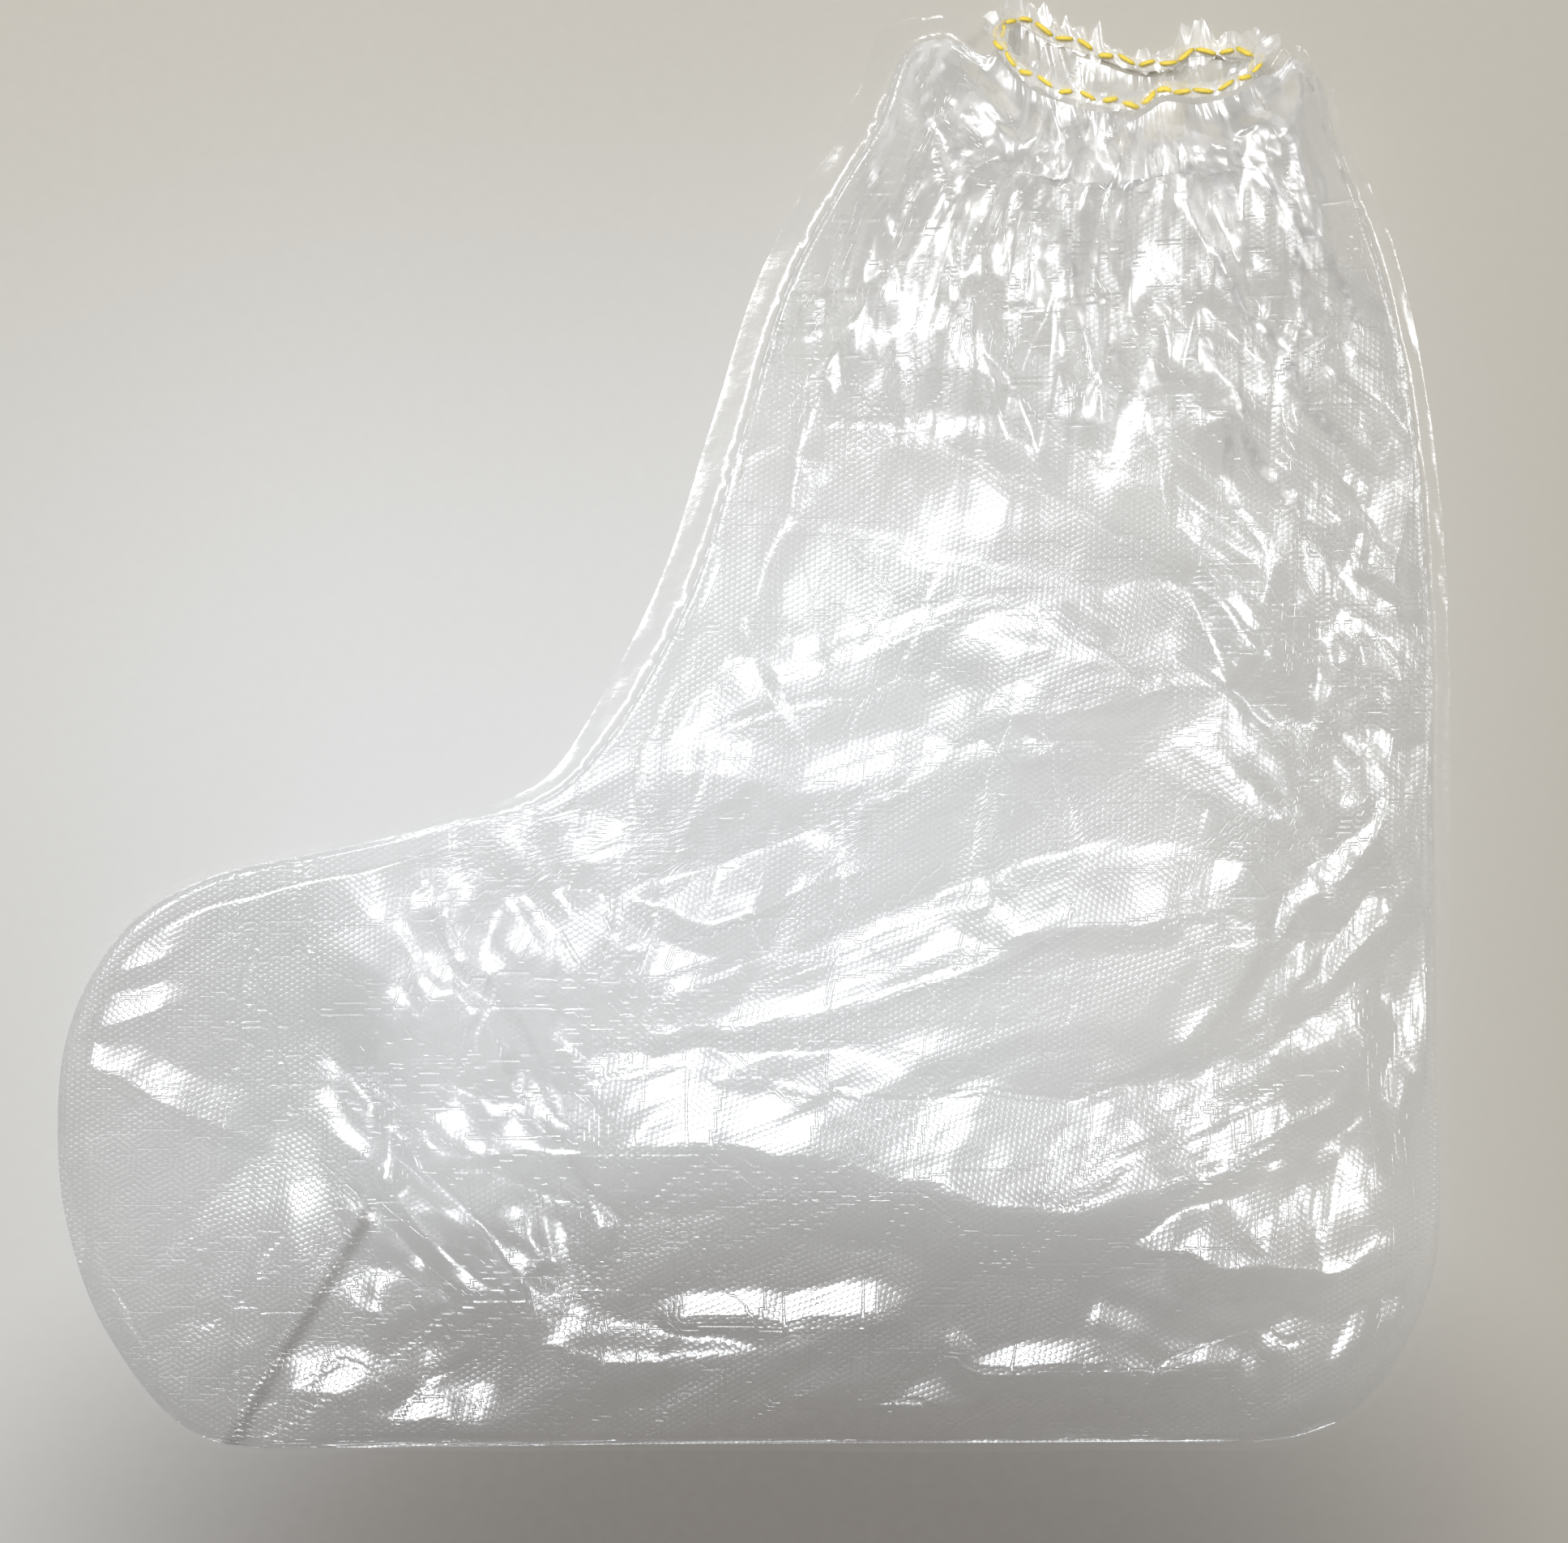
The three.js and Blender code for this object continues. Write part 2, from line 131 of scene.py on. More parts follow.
# The section of the elastic band: out from its middle line, and along the leg.
BAND = ((0.45, -1.6), (0.45, 1.6), (0.2, 2.0), (-0.2, 2.0), (-0.45, 1.6),
        (-0.45, -1.6), (-0.2, -2.0), (0.2, -2.0), (0.45, -1.6))
BAND_STEPS = 360
FRILL_STEPS = 1100
FRILL_ROWS = 12
FRILL_RUFFLES = 64  # facets of the frill round the whole ring
FRILL_LOWEST = 0.6
STITCH_POINTS = 6
STITCH_SIDES = 8

# Main folds of the upper film: the crest's points, the side on which its wide lit slope lies
# (1 is left of the way that the crest runs, -1 right), the widths of that slope and of the
# other one, how steep the wide one is, how sharp the crest is, from 0, rounded, to 1, a crease,
# how much shade is painted on the film beside it, on its narrow side (less than 0: how milky
# the fold is itself), and the share of STRAYS that the crest takes.
FOLDS = table("Fold", "name crest side wide narrow slope sharp shade stray", [
    ("arch band", ((-60, -122), (-8, -117), (34, -126), (92, -135), (131, -124)), 1, 33, 20, 0.28, 0.8, 0.4),
    ("arch tail", ((131, -124), (160, -104), (172, -84)), 1, 20, 12, 0.26, 0.8),
    ("diagonal", ((-26, -88), (15, -81), (71, -63), (90, -57)), 1, 14, 9, 0.27, 0.9, 0.5),
    ("diagonal line", ((-20, -74), (24, -64), (66, -50)), 1, 6, 8, 0.26, 1),
    ("inner ankle", ((76, -60), (116, -53)), 1, 24, 6, 0.25, 0.9, 0.3),
    ("ankle patch", ((-36, -46), (-12, -51), (10, -44)), 1, 26, 9, 0.24, 0.7, 0.4),
    ("ankle upper", ((-18, -14), (14, -16), (40, -12)), 1, 12, 9, 0.21, 0.8),
    ("ankle band", ((30, -20), (61, -12), (88, -8)), 1, 13, 10, 0.2, 0.8, 0.4),
    ("ankle cross", ((74, 0), (70, -26), (64, -50)), -1, 12, 8, 0.24, 0.8),
    ("shin line", ((-8, 12), (27, 23), (61, 33), (85, 34), (98, 26)), 1, 6, 22, 0.19, 0.9, 0.4),
    ("shin upper line", ((8, 57), (34, 50), (60, 45), (92, 38)), 1, 5, 12, 0.16, 1),
    ("knuckle", ((82, 2), (108, 9)), 1, 34, 8, 0.2, 0.9),
    ("heel patch", ((128, -148), (158, -153), (186, -142)), 1, 36, 10, 0.27, 0.8),
    ("heel nick", ((179, -168), (163, -193)), -1, 15, 8, 0.25, 0.8),
    ("heel valley", ((100, -158), (152, -184)), 1, 8, 8, -0.15, 0.1),
    ("ball line", ((-100, -80), (-102, -126)), -1, 9, 8, 0.3, 1),
    ("instep line", ((-88, -52), (-70, -76), (-53, -100)), 1, 13, 10, 0.28, 1, 0.5),
    ("instep fork", ((-72, -92), (-60, -118), (-46, -142)), -1, 12, 7, 0.3, 1, 0.6),
    ("instep patch", ((-92, -82), (-74, -78)), 1, 12, 6, 0.25, 0.8),
    ("vamp crease", ((-70, -28), (-50, -56), (-40, -64)), 1, 10, 9, 0.28, 1),
    ("toe patch", ((-180, -67), (-166, -63)), 1, 13, 4, 0.25, 1),
    ("toe middle", ((-184, -84), (-170, -80)), 1, 12, 4, 0.26, 1),
    ("toe corner", ((-186, -97), (-166, -105), (-152, -112)), 1, 13, 4, 0.28, 1),
    ("toe crease", ((-154, -204), (-141, -182), (-128, -162), (-113, -138)), 1, 30, 3, 0.03, 1, 2.2, 0.2),
    ("ball patch", ((-131, -189), (-106, -195), (-80, -201)), 1, 17, 5, 0.29, 0.9),
    ("ball upper", ((-102, -166), (-72, -158)), 1, 16, 8, 0.22, 0.8),
    ("sole patch", ((-48, -176), (-18, -183)), 1, 13, 8, 0.28, 1),
    ("sole line", ((-20, -166), (8, -170), (36, -164)), 1, 9, 8, 0.27, 0.9),
    ("sole back line", ((60, -176), (104, -180)), 1, 9, 10, 0.25, 0.8),
    ("calf crease", ((128, 100), (142, 76), (154, 56), (158, 40)), 1, 10, 9, 0.3, 1),
    ("calf branch", ((116, 146), (134, 124), (154, 88), (165, 68)), 1, 9, 9, 0.3, 1),
    ("back line", ((162, 46), (176, 34), (190, 22)), 1, 9, 9, 0.25, 1),
    ("back patch", ((134, -22), (150, -30), (166, -22)), 1, 28, 10, 0.22, 0.8),
    ("back loop", ((178, -12), (172, -34), (150, -50), (138, -64), (120, -86)), -1, 10, 8, 0.28, 1, 0.3),
    ("back arm", ((186, -40), (176, -60), (160, -74)), -1, 12, 9, 0.25, 1),
    ("front crease", ((-2, 116), (10, 82), (4, 56), (-4, 30)), -1, 8, 9, 0.26, 1),
    ("front line", ((14, 70), (6, 48), (0, 24)), -1, 8, 8, 0.26, 1),
    ("calf band", ((22, 78), (58, 84), (96, 72)), 1, 7, 12, 0.15, 1),
    ("calf ridge", ((40, 112), (66, 98), (84, 102)), 1, 11, 10, 0.15, 1),
    ("front bead", ((49, 198), (43, 184), (36, 173), (30, 155)), -1, 2.4, 2, 0.27, 1, -4),
    ("second bead", ((53, 196), (47, 180), (43, 160)), -1, 2, 2, 0.27, 1, -3),
    ("third bead", ((61, 175), (57, 160), (52, 132), (48, 105)), -1, 2.2, 2, 0.27, 1, -2.2),
    ("front tuft", ((63, 203), (60, 194)), -1, 2.2, 2, 0.27, 1, -3),
    ("left rope", ((48, 171), (64, 169), (75, 163), (85, 152)), 1, 3, 4, 0.4, 1, -2.5),
    ("left loop", ((70, 176), (78, 172), (82, 164), (80, 156)), -1, 2.5, 2.5, 0.3, 1, -2.5),
    ("right rope", ((117, 171), (131, 165), (145, 152), (156, 142)), 1, 3.2, 3, 0.35, 1, -4.5),
    ("rope edge", ((121, 164), (134, 156), (147, 144), (157, 130)), 1, 2, 2, 0.3, 1, -2),
    ("long rope", ((117, 149), (127, 136), (135, 120), (156, 94), (165, 84)), 1, 2.6, 3, 0.35, 1, -3.5),
    ("lower rope", ((125, 107), (131, 97), (141, 80), (150, 66)), 1, 2.4, 3, 0.35, 1, -3),
    ("lower branch", ((125, 104), (132, 84), (137, 64)), 1, 2, 2.4, 0.3, 1, -2.4),
    ("back rope", ((150, 166), (156, 150), (163, 134), (171, 118)), 1, 2.5, 2.5, 0.27, 1, -2.5),
    ("back loop rope", ((152, 136), (154, 126), (152, 118), (159, 106), (165, 101)), 1, 2, 2, 0.3, 1, -2),
    ("back bead", ((143, 176), (150, 168), (150, 156)), 1, 2.4, 2, 0.25, 1, -3),
    ("far bead", ((154, 193), (159, 182), (166, 160)), 1, 2.4, 2, 0.25, 1, -3),
    ("calf strand", ((84, 138), (88, 128), (91, 118), (91, 112)), 1, 2.4, 2, 0.3, 1, -2.5),
    ("short strand", ((100, 120), (103, 101)), 1, 2, 2, 0.3, 1, -2.5),
    ("front strand", ((57, 123), (58, 115), (60, 105), (71, 96)), -1, 2.2, 2, 0.3, 1, -2),
    ("knot left", ((121, 160), (119, 148), (124, 138)), -1, 2.5, 2.5, 0.3, 1, -3),
    ("knot right", ((123, 160), (132, 150), (135, 138), (128, 132)), 1, 2.5, 2.5, 0.3, 1, -3),
    ("shin bead", ((1, 112), (-6, 80), (-8, 52)), -1, 2.2, 2, 0.27, 1, -2),
    ("crook strand", ((-62, -20), (-54, -4), (-44, 8)), 1, 2.4, 2.4, 0.3, 1, -2.4),
    ("crook branch", ((-54, -24), (-47, -8), (-38, 4)), 1, 2.4, 2.4, 0.3, 1, -2),
    ("gather line", ((96, 174), (90, 156), (94, 130)), -1, 3, 3, 0.26, 1, -1),
    ("gather fork", ((104, 172), (110, 150), (104, 126)), -1, 3, 3, 0.26, 1, -1.2),
    ("gather branch", ((112, 174), (116, 156), (114, 140)), -1, 3, 3, 0.26, 1, -1.2),
    ("gather front", ((86, 176), (76, 150), (66, 128)), -1, 3, 3, 0.26, 1, -0.8),
], defaults=(0, 1))

# Thin creases that only bend the light, besides the crests of the sharp folds.
CREASES = table("Crease", "name points", [
    ("toe crease foot", ((-112, -136), (-104, -124), (-96, -120))),
    ("toe crease branch", ((-112, -136), (-100, -142), (-90, -150))),
    ("instep crease", ((-60, -66), (-56, -92), (-54, -118), (-50, -136))),
    ("instep cross", ((-92, -112), (-72, -126), (-54, -146), (-46, -160))),
    ("ball fan", ((-140, -190), (-118, -180), (-100, -186))),
    ("ball fan low", ((-112, -203), (-100, -186), (-82, -176))),
    ("toe wrinkle", ((-184, -150), (-176, -172), (-170, -190))),
    ("vamp cross", ((-40, -64), (-22, -84), (-4, -96))),
    ("arch upper", ((-54, -100), (-20, -97), (30, -104), (84, -100), (112, -92))),
    ("heel curve", ((104, -96), (122, -98), (142, -82), (160, -66), (170, -44))),
    ("heel curve low", ((96, -128), (120, -112), (150, -100), (178, -104))),
    ("back long", ((118, 60), (140, 22), (152, -6), (140, -40), (136, -60))),
    ("back cross", ((120, 96), (150, 60), (172, 32), (188, 18))),
    ("back upper", ((136, 132), (150, 104), (158, 74), (160, 50))),
    ("back side", ((186, 60), (182, 20), (186, -30), (182, -80))),
    ("back loop small", ((144, -30), (156, -38), (152, -52), (142, -44), (144, -30))),
    ("shin side long", ((-12, 78), (0, 60), (-2, 36), (-22, 20))),
    ("shin fan", ((-22, 46), (-2, 52), (14, 70))),
    ("shin fan low", ((-30, 24), (-6, 30), (20, 48))),
    ("calf cross", ((30, 96), (58, 76), (90, 74), (110, 84))),
    ("calf upper", ((40, 130), (66, 112), (98, 116), (126, 104))),
    ("calf down", ((70, 132), (76, 104), (64, 84))),
    ("crook crease", ((-50, -22), (-58, -40), (-54, -62))),
    ("crook cross", ((-48, -36), (-28, -30), (-6, -34), (18, -50))),
    ("sole long", ((-40, -192), (0, -186), (50, -192), (110, -188))),
    ("heel low", ((96, -190), (120, -176), (150, -168))),
])

# Zones of crumpled film: middle, radii and turn of the zone in degrees, the size of its
# facets, how much longer they are along the turn, how steeply they stand, how much shade is
# painted on the film there, and how milky the film is.
ZONES = table("Zone", "name x y radius_x radius_y turn size stretch slope dull milky", [
    ("whole bag", 0, -20, 420, 420, 20, 52, 1.5, 0.05),
    ("cuff", 104, 160, 84, 42, 90, 8, 2.0, 0.42, 0.1, 0.8),
    ("calf", 90, 104, 104, 50, 66, 22, 1.7, 0.17),
    ("calf crush", 92, 126, 100, 50, 74, 11, 2.2, 0.33, 0.15, 0.4),
    ("leg crush", 158, 50, 40, 100, 124, 12, 2.6, 0.24, 0.2),
    ("shin crush", 8, 92, 34, 40, 60, 11, 1.8, 0.16),
    ("foot crush", -78, -112, 34, 62, 104, 11, 1.8, 0.27),
    ("shin side", 0, 66, 36, 66, 76, 19, 1.8, 0.18),
    ("knee fold", 84, 32, 60, 26, 164, 24, 2.0, 0.07, 0.35),
    ("back", 170, -20, 40, 120, 66, 13, 1.8, 0.24, 0, 0.15),
    ("crook", -34, -46, 50, 36, 20, 24, 1.5, 0.2, 0.12),
    ("foot", -84, -104, 42, 72, 108, 25, 1.6, 0.3, 0.1),
    ("ball", -116, -170, 50, 40, 40, 20, 1.4, 0.1, 0.4),
    ("arch", 40, -108, 130, 26, 6, 17, 2.0, 0.14, 0.25),
    ("arch hollow", 20, -150, 130, 24, 0, 30, 2.4, 0.04, 0.4),
    ("ankle", 40, -30, 80, 46, 12, 26, 2.0, 0.11, 0.12),
    ("sole", 30, -192, 150, 20, 2, 17, 2.0, 0.18),
    ("heel", 150, -160, 60, 56, 46, 20, 1.5, 0.17, 0, 0.1),
    ("toe", -160, -112, 60, 96, 70, 30, 1.8, 0.05, 0.58),
], defaults=(0, 0))
# Finer and finer facets: their size and steepness as shares of the zone's.
LEVELS = ((1, 1), (0.42, 0.46))
FULL_SLOPE = 0.26  # the slope of a zone that counts as wholly crumpled
ZONE_INSIDE, ZONE_OUTSIDE = 0.7, 1.3  # where a zone starts to fade and ends, as shares of its radii
NOISE_SIDE = 64  # random numbers a side in each table of noise
FACET_SHIFT = 0.33  # how far a facet's corners are moved, as a share of its size
FAR = 99.0  # the distance from a crease where there is none
BROAD = 9  # folds at least so wide meet in valleys, and narrower ones run over them
SHARP = 0.8  # how sharp a fold is whose crest bends the light like a crease
SHADE_START = 1.6  # how far past a crest the painted shade is darkest
SHADE_REACH = 9  # how far past it the painted shade fades away
# the darkest painted shade that a fold gives
DARKEST = 1.3
# How far the crests stray, in two steps, and over what distance.
STRAYS = ((4, 22), (1.1, 9))
RING_LENGTHS = 4096


class CoverSettings(bpy.types.PropertyGroup):
    """Sizes of the cover's film and cuff."""

    rows: bpy.props.IntProperty(
        name="Rows", description="Rows of the upper film from the cuff to the sole",
        default=338, min=40, max=340)
    columns: bpy.props.IntProperty(
        name="Columns", description="Columns of the upper film", default=290, min=20, max=290)
    lower_share: bpy.props.FloatProperty(
        name="Lower film detail",
        description="Share of the upper film's rows and columns that the lower film has",
        default=0.72, min=0.1, max=1.0, subtype="FACTOR")
    crumple: bpy.props.FloatProperty(
        name="Crumple", description="How high the crumples stand, as a share of the table's",
        default=1.0, min=0.0, max=2.0)
    seed: bpy.props.IntProperty(
        name="Seed", description="Start of the random crumples", default=7, min=0)
    frill_length: bpy.props.FloatProperty(
        name="Frill length", description="How far the film runs on past the elastic",
        default=0.0062, min=0.002, max=0.02, unit="LENGTH")
    stitch_length: bpy.props.FloatProperty(
        name="Stitch length", description="Length of one yellow stitch",
        default=0.0052, min=0.002, max=0.01, unit="LENGTH")
    thread: bpy.props.FloatProperty(
        name="Thread", description="Diameter of the yellow thread",
        default=0.0013, min=0.0004, max=0.003, unit="LENGTH")


class StudioSettings(bpy.types.PropertyGroup):
    """The floor, the lights and the camera."""

    camera_height: bpy.props.FloatProperty(
        name="Camera height", description="Height of the camera above the floor",
        default=1.4, min=0.4, max=4.0, unit="LENGTH")
    frame_width: bpy.props.FloatProperty(
        name="Frame width", description="Width of the floor that the camera sees",
        default=0.4483, min=0.2, max=2.0, unit="LENGTH")
    key_power: bpy.props.FloatProperty(
        name="Key power", description="Power of the large light, in watts", default=24.0, min=0.0)
    side_power: bpy.props.FloatProperty(
        name="Side power", description="Power of the left light, in watts", default=13.0, min=0.0)
    spark_power: bpy.props.FloatProperty(
        name="Spark power", description="Power of the small right light, in watts", default=8.0, min=0.0)
    sky: bpy.props.FloatProperty(
        name="Sky", description="Strength of the even light from all round", default=0.22, min=0.0)


# ------------------------------------------------------------------ curves and fields


def smooth(value, low, high):
    share = np.clip((value - low) / (high - low), 0, 1)
    return share * share * (3 - 2 * share)


def mix(low, high, share):
    return low + (high - low) * share


def catmull_rom(points, places, closed=False):
    """Points of a centripetal Catmull-Rom curve at places from 0 to 1."""
    points = np.asarray(points, float)
    places = np.atleast_1d(np.asarray(places, float))
    if closed:
        run = (places % 1) * len(points)
        index = np.floor(run).astype(int)
        p0, p1, p2, p3 = (points[(index + k) % len(points)] for k in (-1, 0, 1, 2))
    else:
        run = np.clip(places, 0, 1) * (len(points) - 1)
        index = np.minimum(np.floor(run).astype(int), len(points) - 2)
        ends = np.vstack([2 * points[0] - points[1], points, 2 * points[-1] - points[-2]])
        p0, p1, p2, p3 = (ends[index + k] for k in range(4))
    share = (run - index)[:, None]
    d0, d1, d2 = (
        np.sqrt(np.maximum(np.linalg.norm(b - a, axis=1), 1e-9))[:, None]
        for a, b in ((p0, p1), (p1, p2), (p2, p3))
    )
    start = ((p1 - p0) / d0 - (p2 - p0) / (d0 + d1) + (p2 - p1) / d1) * d1
    stop = ((p2 - p1) / d1 - (p3 - p1) / (d1 + d2) + (p3 - p2) / d2) * d1
    square = -3 * p1 + 3 * p2 - 2 * start - stop
    return p1 + share * (start + share * (square + share * (2 * p1 - 2 * p2 + start + stop)))


LAST = len(STATIONS) - 1  # the place of the toe tip, counted in stations
EDGE = (
    [(s.front_x, s.front_y, s.rim) for s in STATIONS]
    + [(s.back_x, s.back_y, s.rim) for s in reversed(STATIONS[:-1])]
)
RING = (
    [(e.x, e.upper_y, e.upper_z) for e in ELASTIC]
    + [(e.x, e.lower_y, e.lower_z) for e in reversed(ELASTIC[1:-1])]
)


def station_value(place, column):
    """A column of the station table at places between the stations."""
    values = [getattr(station, column) for station in STATIONS]
    return np.interp(place, np.arange(LAST + 1), values)


def edge_point(run, distance):
    """A point of the edge, moved into the bag. run goes from 0 at the front to 1 at the back."""
    step = 1 / (6 * LAST)
    before = catmull_rom(EDGE, np.clip(run - step, 0, 1))
    after = catmull_rom(EDGE, np.clip(run + step, 0, 1))
    into = np.stack([before[:, 1] - after[:, 1], after[:, 0] - before[:, 0]], axis=1)
    into /= np.linalg.norm(into, axis=1)[:, None]
    point = catmull_rom(EDGE, run)
    point[:, :2] += into * np.reshape(distance, (-1, 1))
    point[:, 2] = np.maximum(point[:, 2], 0)
    return point


def place_of(run):
    return np.where(run <= 0.5, run, 1 - run) * 2 * LAST


def weld_width(run):
    place = place_of(run)
    return np.where(run <= 0.5, station_value(place, "front_weld"), station_value(place, "back_weld"))


def ring_point(share):
    """A point of the elastic at a share of its own length."""
    places = np.linspace(0, 1, RING_LENGTHS)
    line = catmull_rom(RING, places, closed=True)
    lengths = np.concatenate([[0], np.cumsum(np.linalg.norm(np.diff(line, axis=0), axis=1))])
    found = np.interp(np.asarray(share) % 1, lengths / lengths[-1], places)
    return catmull_rom(RING, found, closed=True)


def ring_outward(share):
    tangent = ring_point(share + 0.002) - ring_point(share - 0.002)
    out = np.stack([-tangent[:, 2], np.zeros(len(tangent)), tangent[:, 0]], axis=1)
    return out / np.maximum(np.linalg.norm(out, axis=1), 1e-9)[:, None]


def ring_length():
    line = ring_point(np.linspace(0, 1, 400, endpoint=False))
    return float(np.linalg.norm(np.diff(line, axis=0, append=line[:1]), axis=1).sum())


def segment_distance(x, y, from_x, from_y, to_x, to_y):
    run_x, run_y = to_x - from_x, to_y - from_y
    square = max(run_x**2 + run_y**2, 1e-9)
    along = np.clip(((x - from_x) * run_x + (y - from_y) * run_y) / square, 0, 1)
    return np.hypot(x - from_x - along * run_x, y - from_y - along * run_y)


def edge_distance(x, y):
    """How far points lie in from the inner side of the weld, seen from above."""
    runs = np.linspace(0, 1, 141)
    line = edge_point(runs, weld_width(runs))
    nearest = np.full(x.shape, np.inf)
    for start, stop in zip(line, line[1:]):
        nearest = np.minimum(nearest, segment_distance(x, y, *start[:2], *stop[:2]))
    return nearest


def soft_noise(u, v, seed):
    """Rounded random heights between -1 and 1, one for each whole number of u and v."""
    tall = np.random.default_rng(seed).uniform(-1, 1, (NOISE_SIDE, NOISE_SIDE))
    iu, iv = np.floor(u).astype(int), np.floor(v).astype(int)
    fu, fv = smooth(u - iu, 0, 1), smooth(v - iv, 0, 1)

    def pick(a, b):
        return tall[(iu + a) % NOISE_SIDE, (iv + b) % NOISE_SIDE]

    return mix(mix(pick(0, 0), pick(1, 0), fu), mix(pick(0, 1), pick(1, 1), fu), fv)


def facets(u, v, seed):
    """The heights, from -1 to 1, of flat three-cornered facets about 1 across."""
    rng = np.random.default_rng(seed)
    shift_u, shift_v = rng.uniform(-FACET_SHIFT, FACET_SHIFT, (2, NOISE_SIDE, NOISE_SIDE))
    tall = rng.uniform(-1, 1, (NOISE_SIDE, NOISE_SIDE))
    height = np.zeros_like(u)
    cell_u, cell_v = np.floor(u).astype(int), np.floor(v).astype(int)
    for over in range(9):
        a, b = cell_u + over // 3 - 1, cell_v + over % 3 - 1
        corners = []
        for i, j in ((a, b), (a + 1, b), (a + 1, b + 1), (a, b + 1)):
            at = i % NOISE_SIDE, j % NOISE_SIDE
            corners.append((i + shift_u[at] - u, j + shift_v[at] - v, tall[at]))
        for two in (1, 2):
            triangle = [corners[0], corners[two], corners[two + 1]]
            crosses = [p[0] * q[1] - p[1] * q[0]
                       for p, q in ((triangle[k - 2], triangle[k - 1]) for k in range(3))]
            whole = sum(crosses)
            inside = (crosses[0] >= 0) & (crosses[1] >= 0) & (crosses[2] >= 0) & (whole > 0)
            level = sum(c * corner[2] for c, corner in zip(crosses, triangle))
            height = np.where(inside, level / np.where(inside, whole, 1), height)
    return height


def joined(one, other):
    """The signed distance from the nearer of two sets of lines."""
    return one * other / (np.abs(one) + np.abs(other) + 1e-6)


def zone_share(zone, x, y):
    """How far points are inside a zone: 1 in its middle, and 0 past it."""
    away = np.hypot((x - zone.x) / zone.radius_x, (y - zone.y) / zone.radius_y)
    return 1 - smooth(away, ZONE_INSIDE, ZONE_OUTSIDE)


def crumple_height(x, y, seed):
    """The crumples of all zones, how crumpled and milky the film is, and the painted shade, at each point.
    """
    height, amount, dull, milky = (np.zeros_like(x) for _ in range(4))
    for number, zone in enumerate(ZONES):
        share = zone_share(zone, x, y)
        near = share > 0
        turn = math.radians(zone.turn)
        along = (x[near] * math.cos(turn) + y[near] * math.sin(turn)) / (zone.size * zone.stretch)
        beside = (y[near] * math.cos(turn) - x[near] * math.sin(turn)) / zone.size
        for level, (part, steep) in enumerate(LEVELS):
            tall = facets(along / part, beside / part, seed + 10 * number + 3 * level)
            height[near] += share[near] * tall * zone.size * part * zone.slope * steep
        if zone.name != "whole bag":  # its facets are too gentle to count as crumpled
            amount = np.maximum(amount, share * zone.slope / FULL_SLOPE)
        # painted shade: the zone darkens the film, most in its middle
        dull = np.maximum(dull, share * zone.dull)
        milky = np.maximum(milky, share * zone.milky)
    return height, amount, dull, milky


def wandering(x, y, seed):
    """Points pushed about by angular steps, so that straight crests come out as crumpled ones."""
    for axis, value in enumerate((x, y)):
        for step, (reach, size) in enumerate(STRAYS):
            value = value + reach * facets(x / size, y / size, seed + 2 * step + axis)
        yield value


def line_away(x, y, points):
    """The signed distance from a line of points: more than 0 on its left."""
    away = np.full(x.shape, np.inf)
    for (from_x, from_y), (to_x, to_y) in zip(points, points[1:]):
        part = segment_distance(x, y, from_x, from_y, to_x, to_y)
        left = (to_x - from_x) * (y - from_y) - (to_y - from_y) * (x - from_x) > 0
        away = np.where(part < np.abs(away), np.where(left, part, -part), away)
    return away


def fold_height(x, y, seed):
    """The main folds, signed distance from the nearest crease, shade painted beside them, and how milky they
    are.
    """
    stray_x, stray_y = wandering(x, y, seed)
    height, broad, shade, milk = (np.zeros_like(x) for _ in range(4))
    crease = np.full(x.shape, FAR)
    for fold in FOLDS:
        away = line_away(mix(x, stray_x, fold.stray), mix(y, stray_y, fold.stray), fold.crest)
        past = -away * fold.side
        # Painted shade: past the crest, on the fold's narrow side, the film is made darker and less clear.
        shade_fade = smooth(past, 0, SHADE_START) * np.clip(1 - past / SHADE_REACH, 0, 1) ** 1.5
        shade = np.maximum(shade, np.minimum(fold.shade * shade_fade, DARKEST))
        milk = np.maximum(milk, -fold.shade * (1 - smooth(np.abs(away), 0.4, fold.wide)))
        if fold.sharp >= SHARP:
            crease = joined(crease, away)
        share = np.abs(away) / np.where((away > 0) == (fold.side > 0), fold.wide, fold.narrow)
        rise = mix(1 - smooth(share, 0, 1), np.clip(1 - share, 0, 1) ** 1.1, fold.sharp)
        rise = rise * fold.slope * fold.wide
        if fold.wide >= BROAD:
            broad = np.maximum(broad, rise)
        else:
            height += rise
    for line in CREASES:
        crease = joined(crease, line_away(stray_x, stray_y, line.points))
    return height + broad, crease, shade, milk


# ------------------------------------------------------------------ the film


GATHERED_ROWS = 0.17  # share of the rows that lie above the calf
GATHERED_PLACES = 4  # the station of the calf
SOLE_Y = -204.3  # where the last row lies, just inside the weld of the sole
SOLE_RUN = 0.64  # a place on the edge of the sole, between the two ends of the last row
EDGE_STEPS = 1500


def row_runs(rows):
    """Where each row of the film starts and ends on the edge: level below the calf."""
    share = np.arange(rows + 1) / rows
    start = GATHERED_PLACES / (2 * LAST)
    over = np.minimum(share / GATHERED_ROWS, 1) * start
    down = np.clip((share - GATHERED_ROWS) / (1 - GATHERED_ROWS), 0, 1)
    ends = []
    for low in (start, 1 - start):
        runs = np.linspace(low, SOLE_RUN, EDGE_STEPS)
        levels = edge_point(runs, weld_width(runs))[:, 1]
        stop = int(np.argmax(levels < SOLE_Y)) or len(levels)
        found = np.interp(-mix(levels[0], SOLE_Y, down), -levels[:stop], runs[:stop])
        ends.append(np.where(share < GATHERED_ROWS, over if low < 0.5 else 1 - over, found))
    return ends


